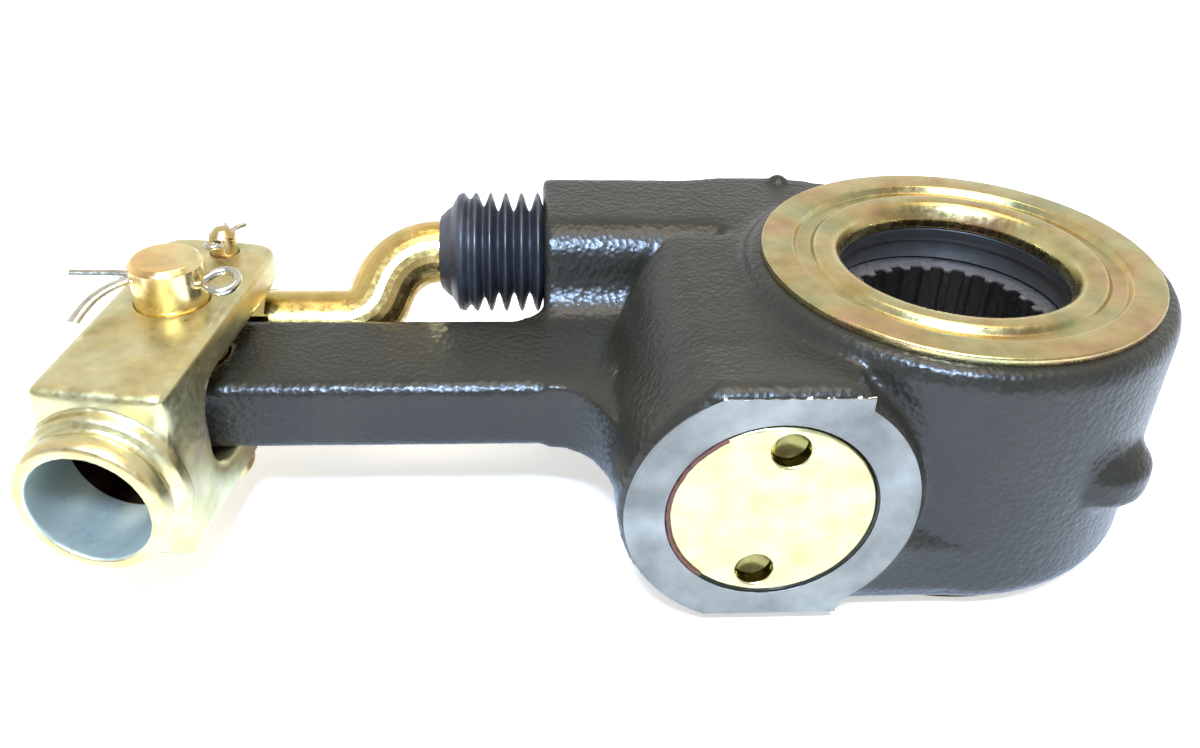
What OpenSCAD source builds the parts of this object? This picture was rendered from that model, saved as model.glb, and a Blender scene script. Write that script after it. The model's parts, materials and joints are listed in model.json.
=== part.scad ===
// Automatic brake slack adjuster: splined drum, worm drive, rack and clevis link.
// The spline axis is Z, the arm points along -X and the end plug faces -Y.

/* [Arm] */
// Spline axis to clevis pin
arm_length = 139.7; // [127:0.1:165]
// Width of the arm bar
arm_width = 24.4; // [22:0.1:27]
// Thickness of the arm bar
arm_thick = 13.8; // [12:0.1:14.5]
// Rounding of the arm's long edges
arm_edge = 2.4; // [1:0.1:4]
// Wall of the bushing in the arm's eye
eye_bushing_wall = 1.6; // [1:0.1:2.5]

/* [Drum] */
// Outer radius of the spline drum
drum_r = 38.5; // [37.5:0.1:41]
// Height of the drum between its shoulders
drum_h = 45.4; // [44:0.1:50]
// Rounding of the drum's lower edge
drum_edge = 5; // [3:0.1:7]
// Height of the raised rim under the top cover
rim_h = 2.7; // [2:0.1:4]
// Bevel of the raised rim
rim_bevel = 1.2; // [0.8:0.1:2]
// Radius of the top cover's flange
cover_r = 35.3; // [34.5:0.1:36]
// Radius of the bottom cover's flange
low_cover_r = 33; // [32.6:0.1:34]
// Sheet thickness of the covers
cover_t = 1.5; // [1:0.1:2]
// Reach of the casting lug past the drum's wall
lug_reach = 4.5; // [3:0.1:6]
// Height of the casting lug
lug_h = 10; // [7:0.1:14]

/* [Worm barrel] */
// Radius of the worm barrel
barrel_r = 24.2; // [23:0.1:25]
// Spline axis to the machined front face
barrel_face = 38.9; // [38:0.1:42]
// Height over the barrel's flats
flat_h = 44.6; // [43:0.1:46]
// Radius of the end plug
plug_r = 16.95; // [16:0.05:18]
// Thickness of the end plug
plug_t = 7; // [6:0.1:8]
// Diameter of the plug's spanner holes
spanner_d = 6.3; // [5:0.1:7]
// Spacing of the plug's spanner holes
spanner_span = 24.9; // [23:0.1:26]
// Depth of the plug's spanner holes
spanner_depth = 3.2; // [2.5:0.1:3.4]
// Turn of the spanner holes off the vertical
spanner_turn = 7.8; // [0:0.1:90]

/* [Gears and spline] */
// Teeth of the worm wheel
wheel_teeth = 28; // [26:1:30]
// Pitch radius of the worm wheel
wheel_pitch_r = 28.5; // [28:0.1:28.8]
// Pitch radius of the worm
worm_pitch_r = 9.5; // [9:0.1:10]
// Length of the worm wheel's hub
wheel_len = 29; // [27:0.1:31]
// Width of the worm wheel's teeth
wheel_face = 18.8; // [16:0.1:19]
// Number of splines
spline_teeth = 28; // [10:1:37]
// Radius at the bottom of the splines
spline_major_r = 19; // [18:0.05:20]
// Radius at the tips of the splines
spline_minor_r = 17.6; // [16:0.05:17.8]
// Teeth of the pinion
pinion_teeth = 14; // [13:1:15]
// Module of the rack and pinion
rack_module = 1.25; // [1.2:0.01:1.3]

/* [Link and boot] */
// Diameter of the link rod and the rack
rod_d = 12.7; // [11.5:0.1:13]
// Worm wheel axis to the rack's axis, along Y
rack_y = 30; // [29:0.1:32]
// Rack axis above its pitch line
rack_rise = 2.95; // [2.6:0.05:3.2]
// Spline axis to the mouth of the rack case
case_mouth = 74; // [72:0.1:78]
// Spline axis to the back wall of the rack case
case_back = 45; // [44:0.1:48]
// Radius of the boot's ridges
boot_r = 12; // [11:0.1:12.6]
// Length of the boot's bellows
boot_len = 16.7; // [15:0.1:20]
// Length of the boot's cuff
cuff_len = 4; // [3:0.1:5]
// Number of ridges on the boot
boot_ridges = 6; // [4:1:7]
// Radius of the rod's upper bend
bend_r = 11.5; // [9:0.1:13]
// Radius of the rod's lower bend
low_bend_r = 6.6; // [6.5:0.1:9]
// Angle of the rod's two bends
bend_angle = 70; // [55:1:75]

/* [Clevis] */
// Diameter of the clevis pin
pin_d = 12.7; // [11:0.1:14]
// Width of the clevis
clevis_w = 22.4; // [21:0.1:26]
// Thickness of each ear
ear_t = 7.5; // [6:0.1:9]
// Slot between the ears
slot_h = 17.8; // [16:0.1:20]
// Clevis pin to the back end of the ears
ear_back = 24; // [23:0.1:27]
// Clevis pin to the front of the block
block_front = 30.5; // [28:0.1:34]
// Clevis pin to the mouth of the neck
neck_front = 39; // [37:0.1:44]
// Radius of the push rod bore
neck_bore_r = 10; // [9:0.1:10.5]
// Radius of the neck's rim
neck_r = 12.6; // [12:0.1:13.4]
// Swing of the clevis at rest
clevis_swing = -9; // [-12:0.5:-6]
// Link pin to clevis pin along the ears
link_pin_y = 18.8; // [18.4:0.1:19.2]
// Link pin's offset across the ears
link_pin_x = 2.2; // [1:0.1:3]
// Diameter of the link pin
link_pin_d = 5; // [4.4:0.1:5.2]
// Height of the clevis pin's tail over the top ear
pin_tail = 7; // [6:0.1:9]
// Wire radius of the clevis pin's cotter
cotter_r = 1.3; // [1.2:0.1:1.8]
// Radius of that cotter's eye
cotter_eye_r = 2.6; // [2.4:0.1:4]
// Length of that cotter's legs
cotter_leg = 12; // [8:0.5:16]
// Wire radius of the link pin's cotter
link_cotter_r = 0.9; // [0.7:0.1:1.1]
// Radius of that cotter's eye
link_cotter_eye_r = 1.3; // [1.2:0.1:2.2]
// Length of that cotter's legs
link_cotter_leg = 5; // [4:0.5:8]

/* [Grease fitting] */
// Radius of the fitting's thread
grease_r = 2.5; // [2:0.1:3]
// Width over the fitting's hexagon
grease_hex = 9; // [7:0.1:11]
// Height of the fitting outside the drum
grease_h = 10; // [8:0.1:14]

/* [Fits] */
// Radial clearance of a running fit
run_fit = 0.05; // [0.02:0.01:0.1]
// Gap between faces that move past each other
face_gap = 0.4; // [0.3:0.05:0.6]
// Backlash on each flank of the gears
backlash = 0.3; // [0.2:0.05:0.4]

/* [Hidden] */
$fn = 64;
eps = 0.01;
fine = 32;

// Worm gear
worm_x = wheel_pitch_r + worm_pitch_r;
worm_lead = 2 * PI * wheel_pitch_r / wheel_teeth;
lead_angle = atan(worm_lead / (2 * PI * worm_pitch_r));
worm_angle = 20;
wheel_module = 2 * wheel_pitch_r / wheel_teeth;
tip_height = 0.9 * wheel_module;
root_depth = 1.15 * wheel_module;
worm_tip_r = worm_pitch_r + tip_height;
worm_root_r = worm_pitch_r - root_depth;
wheel_tip_r = wheel_pitch_r + tip_height;
wheel_root_r = wheel_pitch_r - root_depth;
wheel_bore_r = wheel_tip_r + 1;
wheel_journal_r = wheel_root_r + 0.9;
worm_thread_len = 5 * worm_lead;

// Worm shaft, from the front face to the back
plug_bore_r = plug_r + run_fit;
plug_back = -barrel_face + plug_t;
disc_spring_t = 4.4;
race_t = 2;
ball_r = 1.5;
race_front = plug_back + disc_spring_t;
race_back = race_front + 2 * race_t + 2 * ball_r;
worm_collar_r = worm_tip_r + 1;
worm_bore_r = worm_collar_r + run_fit;
worm_collar_t = 2.8;
shaft_r = 5;
front_shaft_r = 6.4;
hub_r = 7.2;
thread_back = worm_thread_len / 2;
hub_back = thread_back + 4;
pinion_front = hub_back + face_gap;
pinion_face = 11.6;
pinion_tooth_front = rack_y - pinion_face / 2;
pinion_back = rack_y + pinion_face / 2;
pinion_bore_r = shaft_r + run_fit;
pinion_pitch_r = rack_module * pinion_teeth / 2;
pinion_tip_r = pinion_pitch_r + rack_module;
pinion_root_r = pinion_pitch_r - 1.25 * rack_module;
pinion_angle = 25;
pinion_cavity_r = pinion_tip_r + 0.8;
pinion_cavity_back = pinion_back + face_gap;
hex_flats = 11.1;
hex_len = 8;
bushing_wall = 2;
hex_seal_t = 2;
clutch_wire_r = 0.6;

// Rack, link and boot
rod_r = rod_d / 2;
rack_z = pinion_pitch_r + rack_rise;
rack_pitch = PI * rack_module;
rack_end = worm_x - 11;
rack_joint = case_mouth + 9;
rack_bore_r = rod_r + run_fit;
rack_bore_end = rack_end - 5;
rack_teeth_out = 7;
rack_pin_r = 1.5;
rack_pin_in = 4.5;
tongue_t = 5;
tongue_len = 9;
case_wall = 7;
case_front = rack_y - rod_r - case_wall;
case_bottom = -2.5;
case_round = 8;
bush_len = 8;
bush_wall = 1.5;
boot_root_r = 8.2;
cuff_r = 8.2;
boot_end = case_mouth + boot_len;
cuff_end = boot_end + cuff_len;

// Clevis, set along the arm with a small gap under it
ear_low = -arm_thick / 2 - face_gap;
ear_high = ear_low + slot_h;
clevis_bottom = ear_low - ear_t;
clevis_top = ear_high + ear_t;
clevis_mid = (clevis_bottom + clevis_top) / 2;
slot_front = arm_width / 2 + 4;
pin_r = pin_d / 2;
pin_bottom_head = 4;
link_pin_r = link_pin_d / 2;
link_pin_dist = norm([link_pin_x, link_pin_y]);
link_pin_angle = atan2(link_pin_x, link_pin_y) - clevis_swing;
link_pin_pos = [
    -arm_length + link_pin_dist * sin(link_pin_angle),
    link_pin_dist * cos(link_pin_angle)];
link_tail = 4.6;
cotter_z = clevis_top + 3.7;
link_cotter_z = clevis_top + 2.4;
crotch_r = 6;

// Link rod's route: straight out of the rack, a wide bend, a tight bend back, straight to the eye
rod_low_y = arm_width / 2 + face_gap + rod_r + 0.3;
rod_low_z = clevis_mid;
rod_shift = norm([rack_y - rod_low_y, rack_z - rod_low_z]);
rod_tilt = atan2(rack_y - rod_low_y, rack_z - rod_low_z);
bend_run = (rod_shift - (bend_r + low_bend_r) * (1 - cos(bend_angle))) / sin(bend_angle);
bend_span = (bend_r + low_bend_r) * sin(bend_angle) + bend_run * cos(bend_angle);
bend_start = cuff_end + 0.5;
bend_end = bend_start + bend_span;
link_eye_t = 9;
link_eye_r = 5.4;
slot_in = 1.3;
slot_out = 0.9;

// Barrel's cast wall and the circle on which it turns in
cast_r = barrel_r + 0.9;
turn_in = 5.8;
turn_y = -8;

// Covers and seals
rim_z = drum_h / 2 + rim_h;
rim_r = drum_r - rim_bevel;
low_rim_h = 1.5;
low_rim_r = low_cover_r + 0.6;
low_rim_z = drum_h / 2 + low_rim_h;
cover_hole_r = spline_major_r + 1.45;
cover_lip = 3.2;
seal_gap = 0.5;
seal_drop = 1.8;
bushing_start = wheel_face / 2 + 0.8;

cast_black = [0.10, 0.10, 0.09];
zinc_gold = [0.85, 0.80, 0.55];
steel_grey = [0.66, 0.68, 0.70];
bronze = [0.72, 0.55, 0.32];
rubber_black = [0.06, 0.06, 0.06];

// Placing helpers

// Puts a solid that was drawn along +Z from 0 onto the worm's axis, starting at y
module on_worm_axis(y) {
    translate([-worm_x, y, 0]) rotate([-90, 0, 0]) children();
}

// Puts a solid that was drawn along +Z onto the rack's axis, starting x left of the spline
module on_rack_axis(x) {
    translate([-x, rack_y, rack_z]) rotate([0, 90, 0]) children();
}

// Puts a solid drawn round the clevis pin where the clevis stands at rest
module at_clevis() {
    translate([-arm_length, 0, 0]) rotate([0, 0, clevis_swing]) children();
}

module at_link_pin() {
    translate([link_pin_pos[0], link_pin_pos[1], 0]) rotate([0, 0, clevis_swing]) children();
}

// Shape helpers

module ring(r_out, r_in, h) {
    difference() {
        cylinder(h = h, r = r_out);
        translate([0, 0, -1]) cylinder(h = h + 2, r = r_in);
    }
}

// Rectangle centred on the origin with round corners
module round_rect(w, h, r) {
    square([w - 2 * r, h], center = true);
    square([w, h - 2 * r], center = true);
    for (sx = [-1, 1], sy = [-1, 1])
        translate([sx * (w / 2 - r), sy * (h / 2 - r)]) circle(r = r);
}

// Concave corner between two walls that meet at the origin along +X and +Y
module fillet_2d(r) {
    difference() {
        translate([-eps, -eps]) square(r + eps);
        translate([r, r]) circle(r = r);
    }
}

function involute(a) = tan(a) * 180 / PI - a;

// Half the angle of an involute tooth at radius r, less its backlash
function half_tooth(r, teeth, pitch_r, angle) =
    let (base_r = pitch_r * cos(angle))
    90 / teeth + involute(angle) - involute(acos(min(1, base_r / r)))
    - backlash / 2 / pitch_r * 180 / PI;

function polar(r, a) = [r * cos(a), r * sin(a)];

// One involute tooth, pointing along +X, with its foot sunk below the root
module tooth_2d(teeth, pitch_r, root_r, tip_r, angle) {
    base_r = pitch_r * cos(angle);
    steps = 5;
    low_r = max(root_r, base_r + eps);
    radii = [for (i = [0 : steps]) low_r + (tip_r - low_r) * i / steps];
    foot = half_tooth(low_r, teeth, pitch_r, angle);
    polygon(concat(
        [polar(root_r - 0.6, -foot)],
        [for (r = radii) polar(r, -half_tooth(r, teeth, pitch_r, angle))],
        [for (i = [steps : -1 : 0]) polar(radii[i], half_tooth(radii[i], teeth, pitch_r, angle))],
        [polar(root_r - 0.6, foot)]));
}

// Points of a tube's rings joined to one closed skin; every ring has the same number of points
module skin(rings) {
    n = len(rings[0]);
    last = len(rings) - 1;
    polyhedron(
        points = [for (ring_points = rings) for (p = ring_points) p],
        faces = concat(
            [[for (i = [0 : n - 1]) i]],
            [for (k = [0 : last - 1], i = [0 : n - 1])
                [k * n + i, (k + 1) * n + i, (k + 1) * n + (i + 1) % n, k * n + (i + 1) % n]],
            [[for (i = [n - 1 : -1 : 0]) last * n + i]]),
        convexity = 10);
}

// Helical bar round Z: section is a list of [radius, height] points
module helix(section, pitch, turns, steps) {
    skin([for (k = [0 : turns * steps])
        let (a = 360 * k / steps, rise = pitch * k / steps)
        [for (p = section) [p[0] * cos(a), p[0] * sin(a), p[1] + rise]]]);
}

// Housing

module drum_profile() {
    square_top = drum_h / 2;
    translate([0, -square_top]) square([drum_r - drum_edge, drum_h]);
    translate([0, -square_top + drum_edge]) square([drum_r, drum_h - drum_edge]);
    translate([drum_r - drum_edge, -square_top + drum_edge]) circle(r = drum_edge);
    polygon([
        [0, square_top - eps], [drum_r, square_top - eps], [rim_r, rim_z], [0, rim_z]]);
    translate([0, -low_rim_z]) square([low_rim_r, low_rim_h + eps]);
}

module drum() {
    rotate_extrude($fn = 128) drum_profile();
}

// Boat-shaped casting lug low on the drum's front right
module lug() {
    lug_angle = -52;
    lug_r = 10.5;
    bevel = 2.5;
    rotate([0, 0, lug_angle]) translate([drum_r + lug_reach - lug_r, 0, -lug_h / 2]) {
        cylinder(h = bevel, r1 = lug_r - bevel, r2 = lug_r);
        translate([0, 0, bevel]) cylinder(h = lug_h - 2 * bevel, r = lug_r);
        translate([0, 0, lug_h - bevel]) cylinder(h = bevel, r1 = lug_r, r2 = lug_r - bevel);
    }
}

// Worm barrel: a cylinder with flats whose left wall turns in towards the rack case
module barrel() {
    corner_x = 24.5;
    corner_depth = 10;
    face_step = 1.4;
    left = worm_x + cast_r;
    intersection() {
        union() {
            on_worm_axis(-barrel_face) cylinder(h = barrel_face, r = barrel_r);
            on_worm_axis(-barrel_face + face_step)
                cylinder(h = barrel_face + case_front, r = cast_r);
        }
        translate([-left, -barrel_face, -flat_h / 2]) cube([left, barrel_face + case_back, flat_h]);
        translate([0, 0, -flat_h / 2]) linear_extrude(flat_h) {
            translate([-worm_x + turn_in, turn_y]) circle(r = cast_r + turn_in);
            translate([-left, -barrel_face]) square([left, barrel_face + turn_y]);
        }
    }
    translate([-worm_x, -barrel_face, -flat_h / 2])
        cube([worm_x - corner_x, barrel_face - corner_depth, flat_h]);
    on_worm_axis(0) cylinder(h = case_back, r = plug_r);
}

// Web that runs from the barrel's front to the drum, low on the front wall, and leans back into the drum
module front_web() {
    lean_from = -0.4 * flat_h / 2;
    lean_to = 0.7 * flat_h / 2;
    lean = 12;
    foot = 0.9 * drum_edge;
    translate([-worm_x, 0, 0]) rotate([90, 0, 90]) linear_extrude(worm_x) polygon([
        [-drum_r, -flat_h / 2 + foot], [-drum_r + 0.3 * foot, -flat_h / 2 + 0.3 * foot],
        [-drum_r + foot, -flat_h / 2], [0, -flat_h / 2], [0, lean_to], [-drum_r + lean, lean_to],
        [-drum_r, lean_from]]);
}

module rack_case() {
    top = flat_h / 2;
    back_round = 3;
    inner = 18;
    corner_x = 26;
    nub_r = 1.6;
    back_in = case_back - case_round;
    translate([-case_mouth, 0, 0]) rotate([90, 0, 90]) linear_extrude(case_mouth - inner) {
        translate([case_front, case_bottom + case_round])
            square([case_back - case_front, top - case_bottom - 2 * case_round]);
        translate([case_front + case_round, case_bottom])
            square([back_in - case_front - case_round, top - case_bottom]);
        translate([case_front + case_round, top - case_round]) circle(r = case_round);
        translate([case_front + case_round, case_bottom + case_round]) circle(r = case_round);
        translate([back_in, case_bottom + case_round]) circle(r = case_round);
        translate([case_back - back_round, top - back_round]) circle(r = back_round);
        translate([back_in, top - case_round]) square(case_round - back_round);
        translate([back_in, top - case_round]) square([case_round - back_round, case_round]);
        translate([back_in, top - case_round]) square([case_round, case_round - back_round]);
    }
    // back wall drawn in to the drum
    translate([0, 0, case_bottom]) linear_extrude(top - case_bottom)
        polygon([[-worm_x - case_round, case_back - back_round], [-worm_x, case_back],
            [-corner_x, case_back], [0, drum_r], [0, 0], [-worm_x, case_front]]);
    // little casting nub on the back edge
    translate([-corner_x + nub_r, case_back - 2 * nub_r, top - nub_r])
        cylinder(h = 2 * nub_r, r = nub_r, $fn = fine);
}

module arm() {
    body_x = 40;
    back_fillet = 5.5;
    back_flare = 16;
    root_fillet = 9;
    root_out = cast_r + turn_in + 5;
    sunk = 0.3;
    front_fillet = [11, 17];
    case_fillet = 8;
    wall_x = worm_x + barrel_r;
    translate([-arm_length, 0, 0]) rotate([90, 0, 90])
        linear_extrude(arm_length - body_x) round_rect(arm_width, arm_thick, arm_edge);
    // eye
    translate([-arm_length, 0, 0]) rotate_extrude() intersection() {
        round_rect(arm_width, arm_thick, arm_edge);
        translate([0, -arm_thick]) square([arm_width, 2 * arm_thick]);
    }
    // root: flares in the plan at the back and at the barrel's left wall
    translate([0, 0, -arm_thick / 2]) linear_extrude(arm_thick) {
        translate([-case_mouth + eps, arm_width / 2]) mirror([1, 0]) fillet_2d(back_fillet);
        translate([-case_mouth, -arm_width / 2]) square([case_mouth - body_x, arm_width]);
        translate([-case_mouth, arm_width / 2 - 1]) square([case_mouth - body_x, back_flare]);
        translate([-wall_x - eps, -arm_width / 2]) scale(front_fillet) mirror([0, 1]) mirror([1, 0])
            fillet_2d(1);
        translate([-wall_x - 2 * eps, -arm_width / 2 - front_fillet[1]])
            square([worm_x / 2, front_fillet[1] + 1]);
    }
    // root: blends above and below that follow the barrel's wall
    for (side = [0, 1]) mirror([0, 0, side]) intersection() {
        translate([-worm_x + turn_in, turn_y, arm_thick / 2 - sunk]) rotate_extrude() difference() {
            translate([barrel_r, 0]) square([root_out - barrel_r, root_fillet / 2]);
            translate([root_out, root_fillet]) circle(r = root_fillet);
        }
        translate([-case_mouth, -arm_width / 2 + arm_edge, 0])
            cube([case_mouth - body_x, arm_width / 2 + case_front, flat_h / 2]);
    }
    // arm's top to the rack case's front wall
    translate([-case_mouth, case_front, arm_thick / 2]) rotate([90, 0, 90])
        linear_extrude(case_mouth - body_x) mirror([1, 0]) fillet_2d(case_fillet);
}

module housing_bores() {
    // worm wheel
    translate([0, 0, -low_rim_z - 1]) cylinder(h = low_rim_z + rim_z + 2, r = wheel_bore_r);
    // worm, from the front face to the back wall
    on_worm_axis(-barrel_face - 1) cylinder(h = race_back + barrel_face + 1, r = plug_bore_r);
    on_worm_axis(-barrel_face) cylinder(h = barrel_face + hub_back, r = worm_bore_r);
    on_worm_axis(0) cylinder(h = pinion_cavity_back, r = pinion_cavity_r);
    on_worm_axis(0) cylinder(h = case_back + 1, r = shaft_r + run_fit + bushing_wall);
    // rack and its bush
    on_rack_axis(case_mouth + 1) cylinder(h = case_mouth + 1 - rack_bore_end, r = rack_bore_r);
    on_rack_axis(case_mouth + 1) cylinder(h = bush_len + 1, r = rack_bore_r + bush_wall);
    // clevis pin's bushing
    translate([-arm_length, 0, -arm_thick])
        cylinder(h = 2 * arm_thick, r = pin_r + run_fit + eye_bushing_wall);
    // grease fitting
    grease_place() translate([0, 0, -drum_r]) cylinder(h = drum_r, r = grease_r, $fn = fine);
}

module housing() {
    color(cast_black) difference() {
        union() {
            drum();
            lug();
            barrel();
            front_web();
            rack_case();
            arm();
        }
        housing_bores();
    }
}

module arm_bushing() {
    color(bronze) translate([-arm_length, 0, -arm_thick / 2])
        ring(pin_r + run_fit + eye_bushing_wall, pin_r + run_fit, arm_thick);
}

// Worm gear

module spline_hole_2d() {
    tooth = 180 / spline_teeth;
    polygon([for (i = [0 : spline_teeth - 1])
        let (a = i * 360 / spline_teeth)
        each [
            polar(spline_major_r, a - 0.52 * tooth),
            polar(spline_major_r, a + 0.52 * tooth),
            polar(spline_minor_r, a + 0.72 * tooth),
            polar(spline_minor_r, a + 1.28 * tooth)]]);
}

module worm_wheel() {
    rim_face = wheel_face + 0.6;
    color(steel_grey) difference() {
        union() {
            translate([0, 0, -wheel_len / 2]) cylinder(h = wheel_len, r = wheel_root_r);
            for (side = [0, 1]) mirror([0, 0, side])
                translate([0, 0, rim_face / 2])
                    cylinder(h = (wheel_len - rim_face) / 2, r = wheel_journal_r);
            for (i = [0 : wheel_teeth - 1])
                rotate([0, 0, 360 * i / wheel_teeth + 180]) rotate([-lead_angle, 0, 0])
                    translate([0, 0, -wheel_face / 2]) linear_extrude(wheel_face)
                        tooth_2d(wheel_teeth, wheel_pitch_r, wheel_root_r, wheel_tip_r, worm_angle);
        }
        translate([0, 0, -wheel_len]) linear_extrude(2 * wheel_len) spline_hole_2d();
    }
}

// Thread profile of the worm: a rack tooth with straight flanks
module worm_thread() {
    half_pitch_line = worm_lead / 4 - backlash / 2;
    tip_half = half_pitch_line - tip_height * tan(worm_angle);
    root_half = half_pitch_line + (root_depth + 0.3) * tan(worm_angle);
    turns = worm_thread_len / worm_lead - 1;
    start = -turns * worm_lead / 2;
    // the thread's crest at the wheel's side stands half a pitch from the wheel's tooth
    rotate([0, 0, 180 * turns + 180])
        translate([0, 0, start])
            helix([
                [worm_root_r - 0.3, root_half], [worm_tip_r, tip_half],
                [worm_tip_r, -tip_half], [worm_root_r - 0.3, -root_half]],
                worm_lead, turns, fine);
}

module worm() {
    color(steel_grey) {
        on_worm_axis(0) worm_thread();
        on_worm_axis(race_back) cylinder(h = worm_collar_t, r = worm_collar_r);
        on_worm_axis(plug_back + 1) cylinder(h = race_back - plug_back, r = front_shaft_r);
        on_worm_axis(race_back) cylinder(h = thread_back - race_back, r = worm_root_r);
        on_worm_axis(thread_back - 1) cylinder(h = hub_back - thread_back + 1, r = hub_r);
        on_worm_axis(0) cylinder(h = case_back + 1, r = shaft_r);
        on_worm_axis(case_back + 1)
            cylinder(h = hex_len, r = hex_flats / 2 / cos(30), $fn = 6);
    }
}

// Rack drive

module pinion() {
    color(steel_grey) difference() {
        union() {
            on_worm_axis(pinion_front)
                cylinder(h = pinion_tooth_front - pinion_front, r = hub_r);
            on_worm_axis(pinion_tooth_front) cylinder(h = pinion_face, r = pinion_root_r);
            // a tooth stands straight up, in a space of the rack
            for (i = [0 : pinion_teeth - 1])
                on_worm_axis(pinion_tooth_front) rotate([0, 0, 360 * i / pinion_teeth - 90])
                    linear_extrude(pinion_face)
                        tooth_2d(pinion_teeth, pinion_pitch_r, pinion_root_r, pinion_tip_r,
                            pinion_angle);
        }
        on_worm_axis(pinion_front - 1) cylinder(h = case_back, r = pinion_bore_r);
    }
}

module clutch_spring() {
    coil_r = hub_r + 0.35 + clutch_wire_r;
    pitch = 2 * clutch_wire_r + 0.15;
    // as many turns as go between the worm's thread and the pinion's teeth
    turns = floor((pinion_tooth_front - thread_back - 2 * clutch_wire_r) / pitch);
    sides = 8;
    start = (thread_back + pinion_tooth_front - turns * pitch) / 2;
    color(steel_grey) on_worm_axis(start)
        helix([for (i = [0 : sides - 1])
            [coil_r + clutch_wire_r * cos(360 * i / sides), clutch_wire_r * sin(-360 * i / sides)]],
            pitch, turns, 24);
}

module rack() {
    tip_z = pinion_pitch_r - rack_module + 0.1;
    root_z = pinion_pitch_r + 1.3 * rack_module;
    half_space = rack_pitch / 4 + backlash / 2;
    slope = tan(pinion_angle);
    mouth_half = half_space + (pinion_pitch_r - tip_z + 1) * slope;
    bottom_half = half_space - (root_z - pinion_pitch_r) * slope;
    color(steel_grey) difference() {
        on_rack_axis(rack_joint) cylinder(h = rack_joint - rack_end, r = rod_r);
        translate([-worm_x - rack_teeth_out * rack_pitch / 2, rack_y - rod_d, tip_z - rod_d])
            cube([worm_x + rack_teeth_out * rack_pitch / 2, 2 * rod_d, rod_d]);
        for (i = [0 : rack_teeth_out - 1])
            translate([-worm_x + (i - (rack_teeth_out - 1) / 2) * rack_pitch, rack_y + rod_d, 0])
                rotate([90, 0, 0])
                linear_extrude(2 * rod_d) polygon([
                    [-mouth_half, tip_z - 1], [mouth_half, tip_z - 1],
                    [bottom_half, root_z], [-bottom_half, root_z]]);
        rack_tongue(run_fit, 0.2);
        rack_pin_hole();
    }
}

// Flat tongue on the link rod that enters the rack's fork
module rack_tongue(side_gap, end_gap) {
    translate([-rack_joint - eps, rack_y - rod_r - 1, rack_z - tongue_t / 2 - side_gap])
        cube([tongue_len + end_gap, rod_d + 2, tongue_t + 2 * side_gap]);
}

module rack_pin_hole() {
    translate([-rack_joint + rack_pin_in, rack_y, rack_z - rod_d])
        cylinder(h = 2 * rod_d, r = rack_pin_r, $fn = fine);
}

module rack_pin() {
    pin_len = rod_d - 1.6;
    color(steel_grey) translate([-rack_joint + rack_pin_in, rack_y, rack_z - pin_len / 2])
        cylinder(h = pin_len, r = rack_pin_r, $fn = fine);
}

module rack_bush() {
    color(bronze) on_rack_axis(case_mouth) ring(rack_bore_r + bush_wall, rack_bore_r, bush_len);
}

// Stations along the rod's double bend: [run along -X, shift towards the arm, slope]
function bend_stations(steps) = concat(
    [[-1, 0, 0]],
    [for (i = [0 : steps])
        let (a = bend_angle * i / steps)
        [bend_r * sin(a), bend_r * (1 - cos(a)), a]],
    [for (i = [steps : -1 : 0])
        let (a = bend_angle * i / steps)
        [bend_span - low_bend_r * sin(a), rod_shift - low_bend_r * (1 - cos(a)), a]],
    [[bend_span + 1, rod_shift, 0]]);

// Double bend of the rod, a hair thinner than the straight rod that it runs into
module rod_bend() {
    sides = 28;
    r = rod_r - 0.02;
    shift_way = [0, -sin(rod_tilt), -cos(rod_tilt)];
    side_way = [0, -cos(rod_tilt), sin(rod_tilt)];
    skin([for (st = bend_stations(9))
        let (
            centre = [-bend_start - st[0], rack_y, rack_z] + st[1] * shift_way,
            across = sin(st[2]) * [1, 0, 0] + cos(st[2]) * shift_way)
        [for (i = [0 : sides - 1])
            centre + r * cos(360 * i / sides) * across + r * sin(360 * i / sides) * side_way]]);
}

module link_rod() {
    eye_x = -link_pin_pos[0];
    color(zinc_gold) difference() {
        union() {
            intersection() {
                on_rack_axis(rack_joint) cylinder(h = tongue_len + 3, r = rod_r);
                rack_tongue(0, 0);
            }
            on_rack_axis(bend_start) cylinder(h = bend_start - rack_joint, r = rod_r);
            rod_bend();
            translate([-bend_end, rod_low_y, rod_low_z]) rotate([0, -90, 0])
                cylinder(h = eye_x - bend_end - link_eye_r - 1, r = rod_r);
            // flat eye
            translate([-eye_x, rod_low_y - link_eye_r, rod_low_z - link_eye_t / 2])
                cube([link_eye_r + 2, 2 * link_eye_r, link_eye_t]);
            translate([-eye_x, rod_low_y, rod_low_z - link_eye_t / 2])
                cylinder(h = link_eye_t, r = link_eye_r);
        }
        // pin hole, drawn out along Y where the real link would swing
        for (dy = [-slot_in, slot_out])
            translate([-eye_x, link_pin_pos[1] + dy, -rod_d])
                cylinder(h = 3 * rod_d, r = link_pin_r + 0.3);
        translate([-eye_x - link_pin_r - 0.3, link_pin_pos[1] - slot_in, -rod_d])
            cube([link_pin_d + 0.6, slot_in + slot_out, 3 * rod_d]);
        rack_pin_hole();
    }
}

// Place of a ridge from the cuff's end; the first ones stand closest
function ridge_at(i) = cuff_len + boot_len * (0.04 + 0.89 * pow(i / (boot_ridges - 1), 1.1));

// Radius at the foot after ridge i; the first folds are shallow
function fold_r(i) = max(boot_root_r, boot_r - [1.2, 2.8, 4][min(i, 2)]);

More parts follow.
